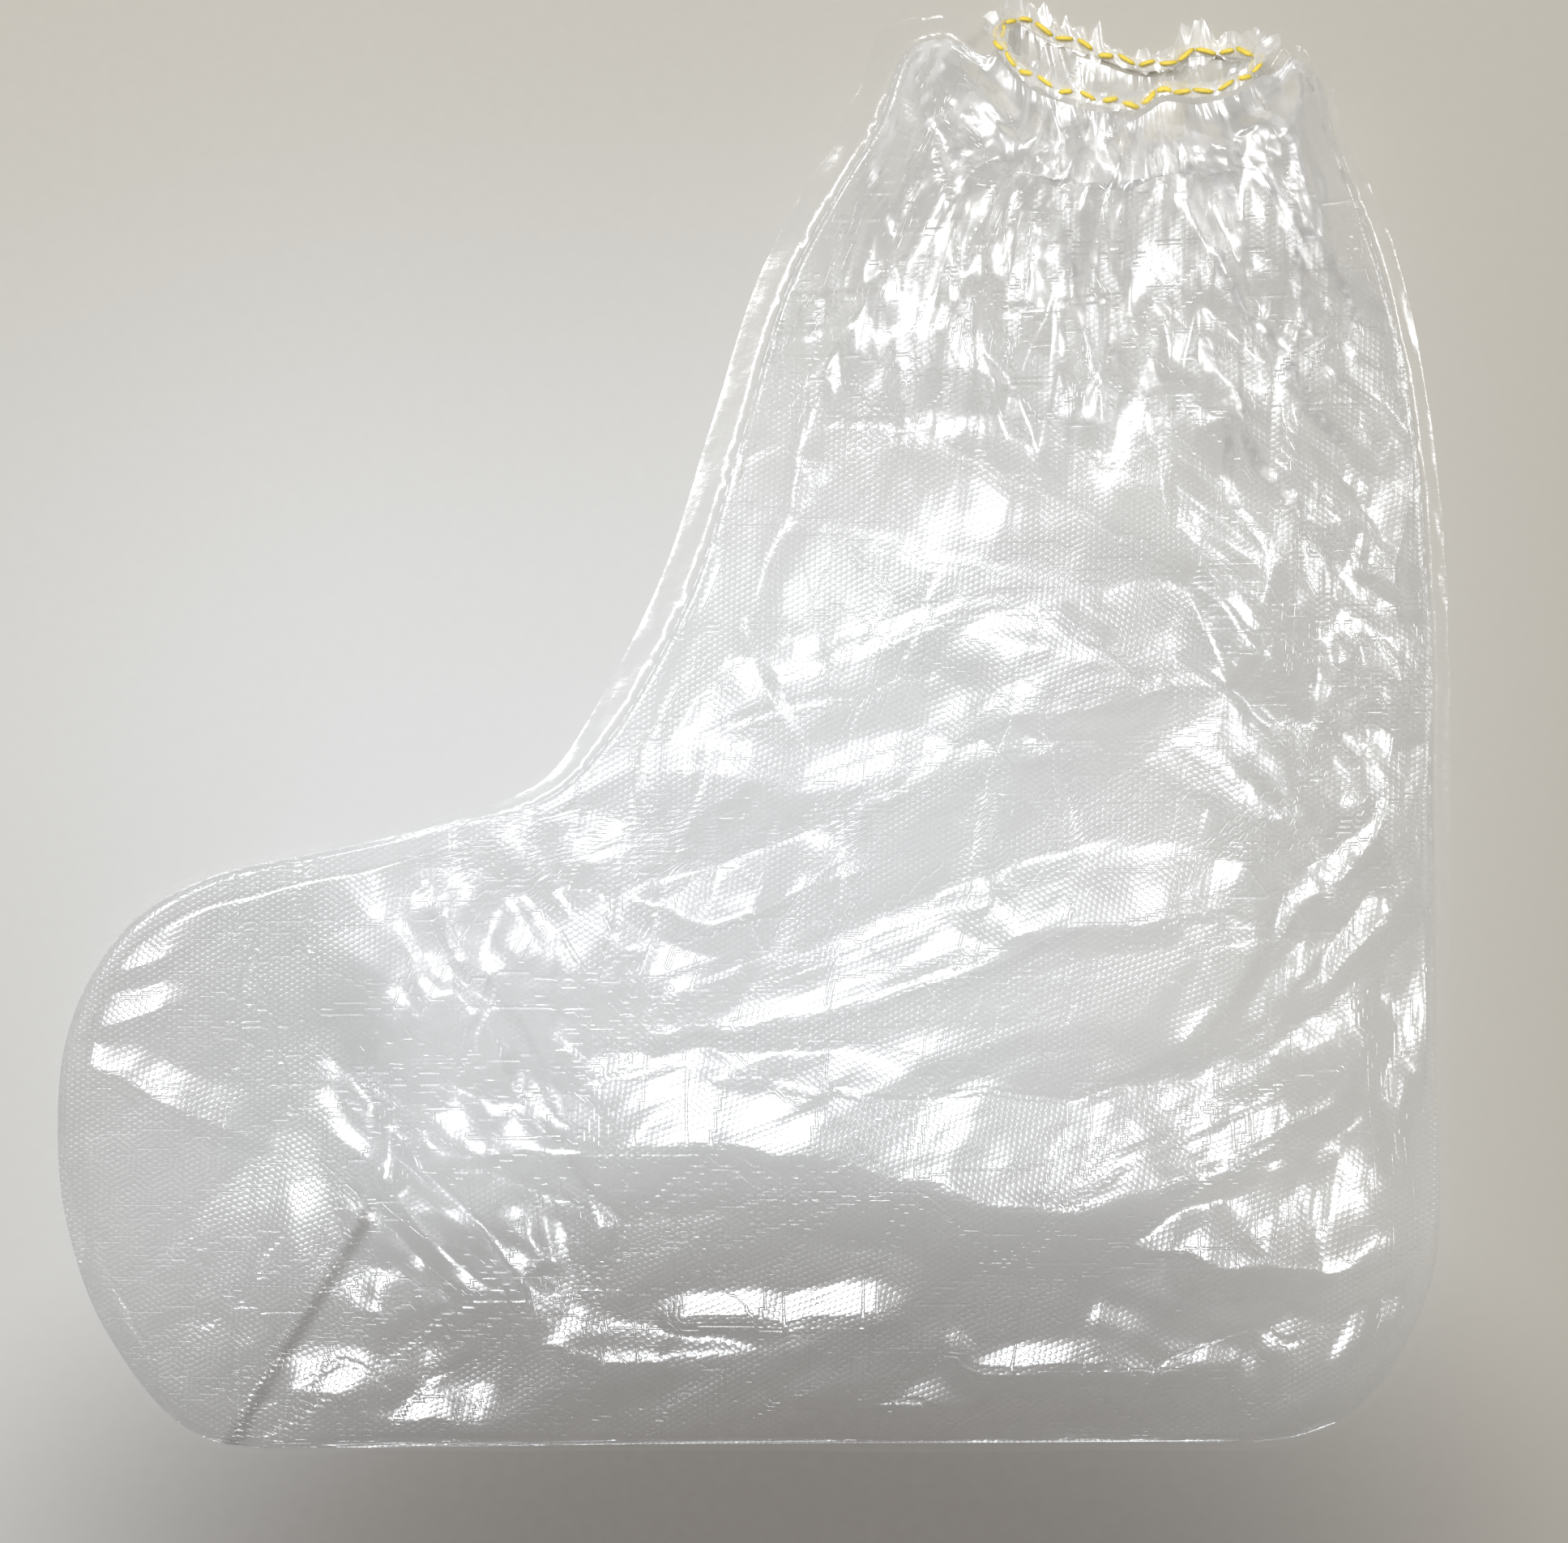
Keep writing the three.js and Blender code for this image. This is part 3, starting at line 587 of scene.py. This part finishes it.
def plan(rows, across, upper):
    """The film's points seen from above, the height of the hem, and their places in stations."""
    front_run, back_run = row_runs(rows)
    front = edge_point(front_run, weld_width(front_run))
    back = edge_point(back_run, weld_width(back_run))
    x, y = (front[:, k, None] + (back[:, k] - front[:, k])[:, None] * across[None, :] for k in (0, 1))
    at = mix(place_of(front_run)[:, None], place_of(back_run)[:, None], across[None, :])
    at = np.maximum.accumulate(at, axis=0)
    hem = catmull_rom(RING, across / 2 if upper else 1 - across / 2, closed=True)
    shape = mix(24, 4, smooth(at, 0, 2))
    gathered = (1 - smooth(at, 2.2, 4.2)) * (1 - np.abs(2 * across[None, :] - 1) ** shape)
    sag = 8 * at + 0.6 * at**2 if upper else 12 * at + 0.5 * at**2
    spread = mix(hem[None, :, 0], x, np.clip(at / 4.2, 0, 1))
    return (mix(x, spread, gathered), mix(y, hem[None, :, 1] - HEM_DROP - sag, gathered),
            np.broadcast_to(hem[None, :, 2], x.shape), at)


def gathers(share, at, seed):
    """Uneven pleats that run down from the elastic, more than 0 high."""
    broad = facets(share * 23, at * 0.7, seed)
    narrow = facets(share * 47 + broad, at * 1.3, seed + 1)
    return 1.3 + 1.3 * broad + 0.9 * narrow


def puffed(x, y, at, inside, seed):
    """How far the film has risen from its edge, from 0 to 1: steeply, but gently by the back."""
    uneven = 1 + EDGE_UNEVEN * facets(x / EDGE_WAVE, y / EDGE_WAVE, seed)
    reach = EDGE_REACH * (1 - FOOT_STEEPER * smooth(-x, 46, 78)) * uneven
    steep = 1 - (1 - np.clip(inside / reach, 0, 1)) ** 1.5
    lift = BACK_LIFT * np.clip(inside / BACK_EDGE, 0, 1)
    gentle = lift + (1 - BACK_LIFT) * np.clip(inside / BACK_REACH, 0, 1)
    by_back = smooth(x, 120, 165) * smooth(at, 3.5, 5.5) * smooth(y, -120, -80)
    return mix(steep, gentle, by_back)


def pleats(share, at, seed):
    """Broad soft pleats that fade down the leg from the elastic."""
    wander = soft_noise(share * PLEATS, at * 0.8, seed)
    deep = smooth(at, 0, 1.3) * (1 - smooth(at, 1.3, 6.5)) * (1 + 0.35 * np.sin(5 * share))
    return PLEAT_HEIGHT * deep * np.cos(2 * np.pi * PLEATS * share + wander) * np.sin(np.pi * share)


def milkiness(x, y, share, at, rope, seed):
    """Milky streaks that fade down from the cuff, and the folded strands' uneven beads."""
    beads = rope * np.clip(0.6 + 1.1 * facets(x / 2.8, y / 2.8, seed + 10), 0.1, 1.4)
    streaks = 0.75 + np.maximum(facets(share * 31, at * 0.5, seed), -0.5)
    return (1 - smooth(at, 0.4, 4.8)) * streaks, beads


def upper_film(rows, across, settings):
    """Points of the upper film, and the values that its material reads there."""
    seed = settings.seed
    x, y, hem_z, at = plan(rows, across, True)
    share = np.broadcast_to(across[None, :], x.shape)
    inside = edge_distance(x, y)
    rim = station_value(at, "rim") + PANEL_GAP
    crumpled, amount, dull, milky = crumple_height(x, y, seed)
    folds, crease, shade, rope = fold_height(x, y, seed + 60)
    begun = np.clip(inside / 3, 0, 1) * smooth(at, 0, 1.5)
    relief = (folds * smooth(at, 0.6, 2) + crumpled * settings.crumple) * begun
    bunch = (1 - smooth(np.abs(x - PINCH_X), 2, 6)) * (1 - smooth(at, 0.6, 2.2))
    fine = (1 - smooth(at, 0.8, 3.6)) * np.sin(np.pi * share) ** 0.3 * gathers(share, at, seed + 70)
    fine = fine + 0.4 * bunch * np.cos(2 * np.pi * x / BUNCH_PITCH)
    loft = station_value(at, "loft") * puffed(x, y, at, inside, seed + 40)
    z = rim + loft + relief + pleats(share, at, seed + 50)
    z = mix(np.maximum(hem_z, rim), z, smooth(at, 0, 1.6)) + fine
    streaks, beads = milkiness(x, y, share, at, rope, seed + 80)
    # shade is the painted shade beside the folds and in the zones
    return x, y, np.maximum(z, rim), {
        "crumple": amount, "milk": streaks + 1.6 * bunch + beads + milky,
        "crease": crease, "shade": np.maximum(shade, dull)}


def lower_film(rows, across, settings):
    """Points of the lower film, which lies on the surface and lifts to the rim at the cuff."""
    seed = settings.seed + 500
    x, y, hem_z, at = plan(rows, across, False)
    share = np.broadcast_to(across[None, :], x.shape)
    inside = edge_distance(x, y)
    crumpled, amount, dull, _ = crumple_height(x, y, seed)
    side = np.abs(2 * share - 1) ** 3
    z = mix(mix(hem_z, 0, smooth(at, 0, 1.5)), station_value(at, "rim"), side)
    z = z + LAID_GAP + np.clip(crumpled * 0.3 + 1.1, 0, 4) * np.clip(inside / 1.5, 0, 1)
    fine_gather = (1 - smooth(at, 0.6, 3.2)) * np.sin(np.pi * share) ** 0.3
    z = z + 0.7 * fine_gather * gathers(share, at, seed + 70)
    crease = fold_height(y + 60, x - 40, settings.seed + 160)[1]
    # painted shade on the lower film, half that of the zones
    return x, y, z, {
        "crumple": amount, "milk": 1 - smooth(at, 0.4, 4.0), "crease": crease,
        "shade": dull * 0.5}


def offset():
    """From the outline's frame to the part's frame, in millimetres, by the box of the weld."""
    low, high = (np.array(corner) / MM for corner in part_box("welded_edge"))
    line = edge_point(np.linspace(0, 1, 6 * LAST + 1), 0)
    return np.array([*((low + high) / 2 - (line.max(0) + line.min(0)) / 2)[:2], 0.0])


OFFSET = offset()


def placed(points):
    """Millimetres in the outline's frame to metres in the part's frame."""
    return (np.asarray(points, float) + OFFSET) * MM


def finished(name, bm, material, attributes=None):
    """Turns a bmesh into a piece that rides on the cover's one body."""
    mesh = bpy.data.meshes.new(name)
    for face in bm.faces:
        face.smooth = True
    bm.to_mesh(mesh)
    bm.free()
    for key, values in (attributes or {}).items():
        layer = mesh.attributes.new(key, "FLOAT", "POINT")
        layer.data.foreach_set("value", np.asarray(values, np.float32).ravel())
    mesh.materials.append(material)
    piece = bpy.data.objects.new(name, mesh)
    bpy.context.scene.collection.objects.link(piece)
    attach(piece, "root")
    return piece


def grid_piece(name, points, material, attributes=None, wrap=False):
    """A sheet of quads through an array of points, rows by columns by 3, in millimetres.

    With wrap, its ends meet and are joined, and it has no attributes.
    """
    rows, columns = points.shape[:2]
    bm = bmesh.new()
    bmesh.ops.create_grid(bm, x_segments=columns - 1, y_segments=rows - 1, size=0.5)
    bm.verts.ensure_lookup_table()
    metres = placed(points)
    order = np.empty((rows, columns), int)
    for vertex in bm.verts:
        column = round((vertex.co.x + 0.5) * (columns - 1))
        row = round((vertex.co.y + 0.5) * (rows - 1))
        order[row, column] = vertex.index
        vertex.co = metres[row, column]
    flat = {}
    for key, values in (attributes or {}).items():
        flat[key] = np.empty(rows * columns)
        flat[key][order.ravel()] = np.asarray(values).ravel()
    if wrap:
        bmesh.ops.remove_doubles(bm, verts=list(bm.verts), dist=1e-7)
    return finished(name, bm, material, flat)


def film_in_place_of(piece, node):
    """Puts a clear piece, whose film is too thin to cast a shadow, in a node's place."""
    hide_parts(node)
    piece.visible_shadow = False


# ------------------------------------------------------------------ materials


class Value:
    """A shader socket that arithmetic can be written with."""

    def __init__(self, tree, socket):
        self.tree = tree
        self.socket = socket

    def math(self, operation, *others, first=None):
        node = self.tree.nodes.new("ShaderNodeMath")
        node.operation = operation
        for slot, value in enumerate([self if first is None else first, *others]):
            connect(self.tree, value, node.inputs[slot])
        return Value(self.tree, node.outputs[0])

    def __add__(self, other): return self.math("ADD", other)
    def __radd__(self, other): return self.math("ADD", self, first=other)
    def __sub__(self, other): return self.math("SUBTRACT", other)
    def __rsub__(self, other): return self.math("SUBTRACT", self, first=other)
    def __mul__(self, other): return self.math("MULTIPLY", other)
    def __rmul__(self, other): return self.math("MULTIPLY", self, first=other)
    def __truediv__(self, other): return self.math("DIVIDE", other)
    def __rtruediv__(self, other): return self.math("DIVIDE", self, first=other)

    def least(self, other): return self.math("MINIMUM", other)
    def fraction(self): return self.math("FRACT")

    def ramp(self, low, high, to_low=0.0, to_high=1.0):
        node = self.tree.nodes.new("ShaderNodeMapRange")
        node.interpolation_type = "SMOOTHSTEP"
        for slot, value in enumerate([self, low, high, to_low, to_high]):
            connect(self.tree, value, node.inputs[slot])
        return Value(self.tree, node.outputs[0])


def connect(tree, value, socket):
    if isinstance(value, Value):
        tree.links.new(value.socket, socket)
    else:
        socket.default_value = value


class Material:
    """Builds one procedural material."""

    def __init__(self, name):
        self.material = bpy.data.materials.new(name)
        self.material.use_nodes = True
        self.tree = self.material.node_tree
        self.tree.nodes.clear()
        coordinates = self.node("ShaderNodeTexCoord", {})
        self.place = Value(self.tree, coordinates.outputs["Object"])
        parts = self.node("ShaderNodeSeparateXYZ", {}, Vector=self.place)
        self.x, self.y, self.z = (Value(self.tree, socket) for socket in parts.outputs)

    def node(self, kind, settings, **inputs):
        node = self.tree.nodes.new(kind)
        for key, value in settings.items():
            setattr(node, key, value)
        for key, value in inputs.items():
            connect(self.tree, value, node.inputs[key.replace("_", " ")])
        return node

    def out(self, node, socket=0):
        return Value(self.tree, node.outputs[socket])

    def noise(self, scale, detail=3.0, roughness=0.55, place=None):
        return self.out(self.node(
            "ShaderNodeTexNoise", {}, Vector=place or self.place, Scale=scale, Detail=detail,
            Roughness=roughness))

    def attribute(self, name):
        return self.out(self.node("ShaderNodeAttribute", {"attribute_name": name}), "Fac")

    def stretched(self, x, y, z):
        node = self.node("ShaderNodeVectorMath", {"operation": "MULTIPLY"})
        connect(self.tree, self.place, node.inputs[0])
        node.inputs[1].default_value = (x, y, z)
        return self.out(node)

    def colour(self, factor, low, high):
        node = self.node("ShaderNodeMix", {"data_type": "RGBA"})
        connect(self.tree, factor, node.inputs[0])
        for slot, end in ((6, low), (7, high)):
            connect(self.tree, end if isinstance(end, Value) else (*end, 1), node.inputs[slot])
        return self.out(node, 2)

    def bump(self, height, distance=MM, strength=1.0):
        return self.out(self.node(
            "ShaderNodeBump", {}, Height=height, Distance=distance, Strength=strength))

    def surface(self, **inputs):
        shader = self.node("ShaderNodeBsdfPrincipled", {}, **inputs)
        end = self.node("ShaderNodeOutputMaterial", {})
        self.tree.links.new(shader.outputs[0], end.inputs[0])
        return self.material


DOT_PITCH = 0.00175  # metres from one dot of the embossing to the next
DOT_SHIFT = 300  # moves the dots' grid, so that no place on it is less than 0
MILK_WHITE = (0.98, 0.98, 0.98)
# the colour of the painted shade on the film
SHADED = (0.30, 0.29, 0.28)


def dots(material, pitch, turn):
    """Raised dots on a turned hexagonal grid, 0 between them and 1 on top, pitch metres apart."""
    tall = pitch * math.sqrt(3)
    along = material.x * math.cos(turn) + material.y * math.sin(turn)
    beside = material.y * math.cos(turn) - material.x * math.sin(turn)
    nearest = None
    for shift in (0.0, 0.5):
        u = ((along / pitch + (DOT_SHIFT + shift)).fraction() - 0.5) * pitch
        v = ((beside / tall + (DOT_SHIFT + shift)).fraction() - 0.5) * tall
        away = u * u + v * v
        nearest = away if nearest is None else nearest.least(away)
    return nearest.ramp((0.16 * pitch) ** 2, (0.46 * pitch) ** 2, 1.0, 0.0)


def film_material(name, emboss, turn, alpha, metallic, roughness, tint):
    """Thin clear film: mostly see-through, with a mirror share, embossing and fine creases.

    Where it is milky it is whiter, duller and less clear; where shade is painted on it, darker.
    """
    m = Material(name)
    crumple, milk, shade, crease = (
        m.attribute(key) for key in ("crumple", "milk", "shade", "crease"))
    cloud = m.noise(140.0, 2.0)
    ridge = (crease * crease).ramp(0.0, 0.6, 0.2, 0.0)
    shown = milk.ramp(0.1, 0.8, emboss, 0.0) * crumple.ramp(0.4, 1.3, 1.2, 0.45)
    height = dots(m, DOT_PITCH, turn) * shown + cloud * (milk * 0.2 + 0.06) + ridge
    # lit is the film's own colour; the shade attribute mixes it towards SHADED, painted shade, and makes the
    # film less clear
    lit = m.colour(cloud * 0.6 + milk * 0.4, tint, MILK_WHITE)
    return m.surface(
        Base_Color=m.colour(shade, lit, SHADED),
        Metallic=milk.ramp(0.0, 3.0, metallic, 0.55),
        Roughness=cloud * 0.08 + milk.ramp(0.0, 3.0, roughness, 0.42),
        Alpha=milk * 0.24 + crumple * 0.03 + shade * 0.28 + alpha,
        Normal=m.bump(height))


def thread_material():
    m = Material("yellow_thread")
    twist = m.noise(900.0, 4.0)
    return m.surface(
        Base_Color=m.colour(twist, (0.78, 0.57, 0.05), (0.98, 0.80, 0.14)),
        Roughness=twist * 0.2 + 0.55, Normal=m.bump(twist * 0.2))


def elastic_material():
    m = Material("elastic_rubber")
    ribs = m.noise(700.0, 2.0, place=m.stretched(1, 0.15, 1))
    return m.surface(
        Base_Color=m.colour(ribs, (0.80, 0.78, 0.70), (0.93, 0.92, 0.89)),
        Roughness=ribs * 0.2 + 0.4, Alpha=ribs * 0.3 + 0.12, Normal=m.bump(ribs * 0.3))


def weld_material():
    m = Material("clear_weld")
    grain, streak = m.noise(420.0, 3.0), m.noise(60.0, 2.0)
    return m.surface(
        Base_Color=m.colour(streak, (0.88, 0.9, 0.92), (0.97, 0.98, 0.99)), Metallic=0.7,
        Roughness=grain * 0.1 + 0.16, Alpha=streak * 0.08 + 0.045,
        Normal=m.bump(grain * 0.12 + streak * 0.4))


def floor_material():
    """A pale tabletop, cool on the left and warm on the right, with painted light and a painted shadow."""
    m = Material("pale_floor")
    grain = m.noise(240.0, 6.0)
    # painted shadow: the floor is darker in a soft ellipse below the sole
    away_x, away_y = (m.x - 0.01) / 0.22, (m.y + 0.25) / 0.12
    outside_shadow = (away_x * away_x + away_y * away_y).ramp(0.0, 1.6, 0.12, 1.0)
    # painted light: the floor is bright and cool in the middle left, falling off to dim and warm to the
    # right, to the top and a little at the far left
    painted_light = m.x.ramp(0.02, 0.28, 1.0, 0.0) * m.y.ramp(-0.02, 0.24, 1.0, 0.1)
    painted_light = painted_light * m.x.ramp(-0.25, -0.10, 0.65, 1.0)
    tint = m.colour(painted_light, (0.475, 0.45, 0.395), (0.69, 0.70, 0.705))
    return m.surface(
        Base_Color=m.colour(outside_shadow - grain * 0.04, (0.155, 0.137, 0.12), tint),
        Roughness=grain * 0.1 + 0.62, Normal=m.bump(grain * 0.05))


# ------------------------------------------------------------------ operators


class BOOTCOVER_OT_film(bpy.types.Operator):
    """Makes the upper and lower film panels with their folds and crumples"""

    bl_idname = "bootcover.film"
    bl_label = "Film panels"

    def execute(self, context):
        settings = context.scene.boot_cover
        for name, node, make, share, turn, alpha in (
            ("upper_film", "upper_film_panel", upper_film, 1.0, 0.35, 0.11),
            ("lower_film", "lower_film_panel", lower_film, settings.lower_share, -0.55, 0.10),
        ):
            across = np.linspace(0, 1, round(settings.columns * share) + 1)
            x, y, z, layers = make(round(settings.rows * share), across, settings)
            material = film_material(
                "clear_film_" + name[:5], 0.034, turn, alpha, 0.8, 0.23, (0.82, 0.86, 0.92))
            piece = grid_piece(name, np.stack([x, y, z], axis=2), material, layers)
            film_in_place_of(piece, node)
        return {"FINISHED"}


class BOOTCOVER_OT_weld(bpy.types.Operator):
    """Makes the welded edge with its clear flange and its beaded lines"""

    bl_idname = "bootcover.weld"
    bl_label = "Welded edge"

    def execute(self, context):
        run = np.linspace(0, 1, WELD_STEPS + 1)
        steps = np.linalg.norm(np.diff(edge_point(run, 0), axis=0), axis=1)
        length = np.concatenate([[0], np.cumsum(steps)])
        rows = [self.flange_row(run, length, row) for row in FLANGE]
        rows += [self.bead_row(run, length, row) for row in BEADED]
        piece = grid_piece("weld_flange", np.stack(rows, axis=1), weld_material())
        film_in_place_of(piece, "welded_edge")
        return {"FINISHED"}

    def flange_row(self, run, length, row):
        """A row of the clear flange, whose outer side is torn near the cuff."""
        width, level = weld_width(run), np.zeros_like(run)
        ragged = (1 - smooth(place_of(run), 1.6, 4.6)) * (1 - row.share)
        torn = ragged * (4.5 * facets(length / 17, level, 81) + 1.6 * facets(length / 6, level, 82))
        points = edge_point(run, width * row.share + torn)
        points[:, 2] += np.abs(torn)
        wave = 0.35 * soft_noise(length / 9, np.full(len(run), row.share * 2), 77)
        bulge = (0.2 + wave) * math.sin(math.pi * row.share) + row.lift - 0.2
        points[:, 2] += 0.25 + bulge * smooth(width, 1.5, 6)
        return points

    def bead_row(self, run, length, row):
        """A row of the beaded line along the inner side of the weld."""
        width = weld_width(run)
        points = edge_point(run, width + row.beside)
        bead = 0.3 * soft_noise(length / 1.7, np.full(len(run), 5.0), 78)
        points[:, 2] += 0.3 + (row.lift + bead - 0.3) * smooth(width, 2.2, 5)
        return points


class BOOTCOVER_OT_frill(bpy.types.Operator):
    bl_idname = "bootcover.frill"
    bl_label = "Cuff frill"

    def execute(self, context):
        points = self.ruffles(context.scene.boot_cover.frill_length / MM)
        layers = {"crumple": 0.8, "milk": 0.9, "crease": FAR, "shade": 0.0}
        piece = grid_piece(
            "frill", points,
            film_material("milky_frill", 0.05, 0.0, 0.20, 0.4, 0.28, (0.92, 0.93, 0.95)),
            {key: np.full(points.shape[:2], value) for key, value in layers.items()})
        film_in_place_of(piece, "cuff_frill")
        return {"FINISHED"}

    def ruffles(self, usual):
        """Points of the frill: round the ring, and from inside the elastic out to its ragged end."""
        share = np.linspace(0, 1, FRILL_STEPS + 1)
        centre, out = ring_point(share), ring_outward(share)
        along, level = share * FRILL_RUFFLES, np.zeros_like(share)
        spikes = np.maximum(facets(along, level, 5), 0) + 0.4 * facets(along * 2, level, 8)
        length = usual * (0.6 + 0.9 * spikes + 0.2 * soft_noise(along / 4, level, 9))
        up = (out[:, 2] + 1) / 2
        points = np.empty((FRILL_STEPS + 1, FRILL_ROWS, 3))
        for row, t in enumerate(np.linspace(-0.55, 1, FRILL_ROWS)):
            past = max(t, 0)
            ruffle = facets(along, level + 1.2 * t + 3, 3)
            ruffle = ruffle + 0.4 * facets(along * 2, level + 2 * t + 9, 4)
            swing = (0.8 + 3.4 * past) * ruffle * (0.45 + 0.55 * up)
            point = centre + out * (swing + 0.4)[:, None]
            point[:, 1] += t * length * np.where(up > 0.5, 0.75, 1.0)
            point[:, 2] += mix(-0.05, 0.75, up) * length * past**1.4
            point[:, 0] += past * (out[:, 0] ** 3 * 3.5 + 1.6 * facets(along / 2, level + 20, 6))
            point[:, 2] = np.maximum(point[:, 2], FRILL_LOWEST)
            points[:, row] = point
        return points


class BOOTCOVER_OT_elastic(bpy.types.Operator):
    """Makes the elastic band and the yellow stitches that hold it"""

    bl_idname = "bootcover.elastic"
    bl_label = "Elastic and stitches"

    def execute(self, context):
        settings = context.scene.boot_cover
        share = np.linspace(0, 1, BAND_STEPS + 1)
        centre, out = ring_point(share), ring_outward(share)
        points = np.empty((len(share), len(BAND), 3))
        for column, (away, along) in enumerate(BAND):
            points[:, column] = centre + out * away
            points[:, column, 1] += along
        band = grid_piece("elastic_band", points, elastic_material(), wrap=True)
        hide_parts("elastic_ring")
        stitches = self.stitches(settings)
        return {"FINISHED"}

    def stitches(self, settings):
        """Short bowed threads on the outside of the band, slanting to and fro."""
        length, radius = settings.stitch_length / MM, settings.thread / MM / 2
        total = ring_length()
        count = round(total / (length * 1.22))
        rng = np.random.default_rng(settings.seed + 90)
        bm = bmesh.new()
        for number in range(count):
            middle = (number + 0.5) / count
            half = length / total / 2 * rng.uniform(0.75, 1.15)
            places = np.linspace(middle - half, middle + half, STITCH_POINTS)
            line, out = ring_point(places), ring_outward(places)
            bow = np.sin(np.linspace(0, math.pi, STITCH_POINTS))
            slant = rng.uniform(-0.8, 0.8) + np.linspace(-0.7, 0.7, STITCH_POINTS) * (-1) ** number
            for side in (1, -1):
                thread = line + out * side * (0.6 + 0.8 * bow)[:, None]
                thread[:, 1] += slant
                self.capsule(bm, placed(thread), out, radius * MM * rng.uniform(0.85, 1.15))
        bmesh.ops.recalc_face_normals(bm, faces=list(bm.faces))
        return finished("yellow_stitches", bm, thread_material())

    def capsule(self, bm, line, out, radius):
        """A thread along a line of points, thinner and closed at its ends."""
        last = len(line) - 1
        edges = {}
        for index, (point, away) in enumerate(zip(line, out)):
            end = index in (0, last)
            tangent = Vector(line[min(index + 1, last)] - line[max(index - 1, 0)]).normalized()
            side = Vector(away).cross(tangent).normalized()
            turn = Matrix((side.cross(tangent), side, tangent)).transposed().to_4x4()
            ring = bmesh.ops.create_circle(
                bm, cap_ends=end, segments=STITCH_SIDES, radius=radius * (0.55 if end else 1),
                matrix=Matrix.Translation(point) @ turn)
            edges.update(dict.fromkeys(edge for v in ring["verts"] for edge in v.link_edges))
        bmesh.ops.bridge_loops(bm, edges=list(edges))


class BOOTCOVER_OT_studio(bpy.types.Operator):
    """Makes the floor, the lights, the sky and the camera"""

    bl_idname = "bootcover.studio"
    bl_label = "Studio"

    def execute(self, context):
        scene = context.scene
        studio = scene.boot_studio
        middle = placed([CAMERA_CENTRE])[0]
        camera = bpy.data.objects.new("camera", bpy.data.cameras.new("camera"))
        camera.location = (middle[0], middle[1], studio.camera_height)
        camera.data.lens = camera.data.sensor_width * studio.camera_height / studio.frame_width
        camera.data.dof.use_dof = False
        scene.collection.objects.link(camera)
        scene.camera = camera
        scene.view_settings.view_transform = "Standard"

        bm = bmesh.new()
        bmesh.ops.create_grid(bm, x_segments=1, y_segments=1, size=3.0)
        mesh = bpy.data.meshes.new("floor")
        bm.to_mesh(mesh)
        bm.free()
        mesh.materials.append(floor_material())
        floor = bpy.data.objects.new("floor", mesh)
        scene.collection.objects.link(floor)

        for name, position, target, size, power in (
            ("key_light", (-0.34, 0.92, 2.05), (-0.02, 0.02, 0), (0.7, 0.6), studio.key_power),
            ("spark_left", (-0.75, 0.55, 1.9), (0, 0, 0), (0.3, 0.3), studio.side_power),
            ("spark_right", (1.10, 0.45, 1.7), (0, 0, 0), (0.3, 0.3), studio.spark_power),
        ):
            self.light(scene, name, position, target, size, power)

        world = bpy.data.worlds.new("sky")
        world.use_nodes = True
        background = world.node_tree.nodes["Background"]
        background.inputs["Color"].default_value = (1.0, 0.96, 0.90, 1)
        background.inputs["Strength"].default_value = studio.sky
        scene.world = world
        return {"FINISHED"}

    def light(self, scene, name, position, target, size, power):
        """A rectangular light that looks at its target."""
        data = bpy.data.lights.new(name, "AREA")
        data.shape = "RECTANGLE"
        data.size, data.size_y = size
        data.energy = power
        lamp = bpy.data.objects.new(name, data)
        lamp.location = position
        lamp.rotation_euler = (Vector(target) - Vector(position)).to_track_quat("-Z", "Y").to_euler()
        scene.collection.objects.link(lamp)


class BOOTCOVER_PT_panel(bpy.types.Panel):
    """The cover's sizes and steps"""

    bl_label = "Boot cover"
    bl_space_type = "VIEW_3D"
    bl_region_type = "UI"
    bl_category = "Boot cover"

    def draw(self, context):
        for group in (context.scene.boot_cover, context.scene.boot_studio):
            box = self.layout.box()
            for key in group.__annotations__:
                box.prop(group, key)
        for operator in OPERATORS:
            self.layout.operator(operator.bl_idname)


OPERATORS = [
    BOOTCOVER_OT_studio, BOOTCOVER_OT_film, BOOTCOVER_OT_weld, BOOTCOVER_OT_elastic,
    BOOTCOVER_OT_frill]
CLASSES = [CoverSettings, StudioSettings, *OPERATORS, BOOTCOVER_PT_panel]


def register():
    for cls in CLASSES:
        bpy.utils.register_class(cls)
    bpy.types.Scene.boot_cover = bpy.props.PointerProperty(type=CoverSettings)
    bpy.types.Scene.boot_studio = bpy.props.PointerProperty(type=StudioSettings)


def unregister():
    del bpy.types.Scene.boot_studio
    del bpy.types.Scene.boot_cover
    for cls in reversed(CLASSES):
        bpy.utils.unregister_class(cls)


def main():
    register()
    bpy.ops.bootcover.studio()
    bpy.ops.bootcover.film()
    bpy.ops.bootcover.weld()
    bpy.ops.bootcover.elastic()
    bpy.ops.bootcover.frill()


if __name__ == "__main__":
    main()
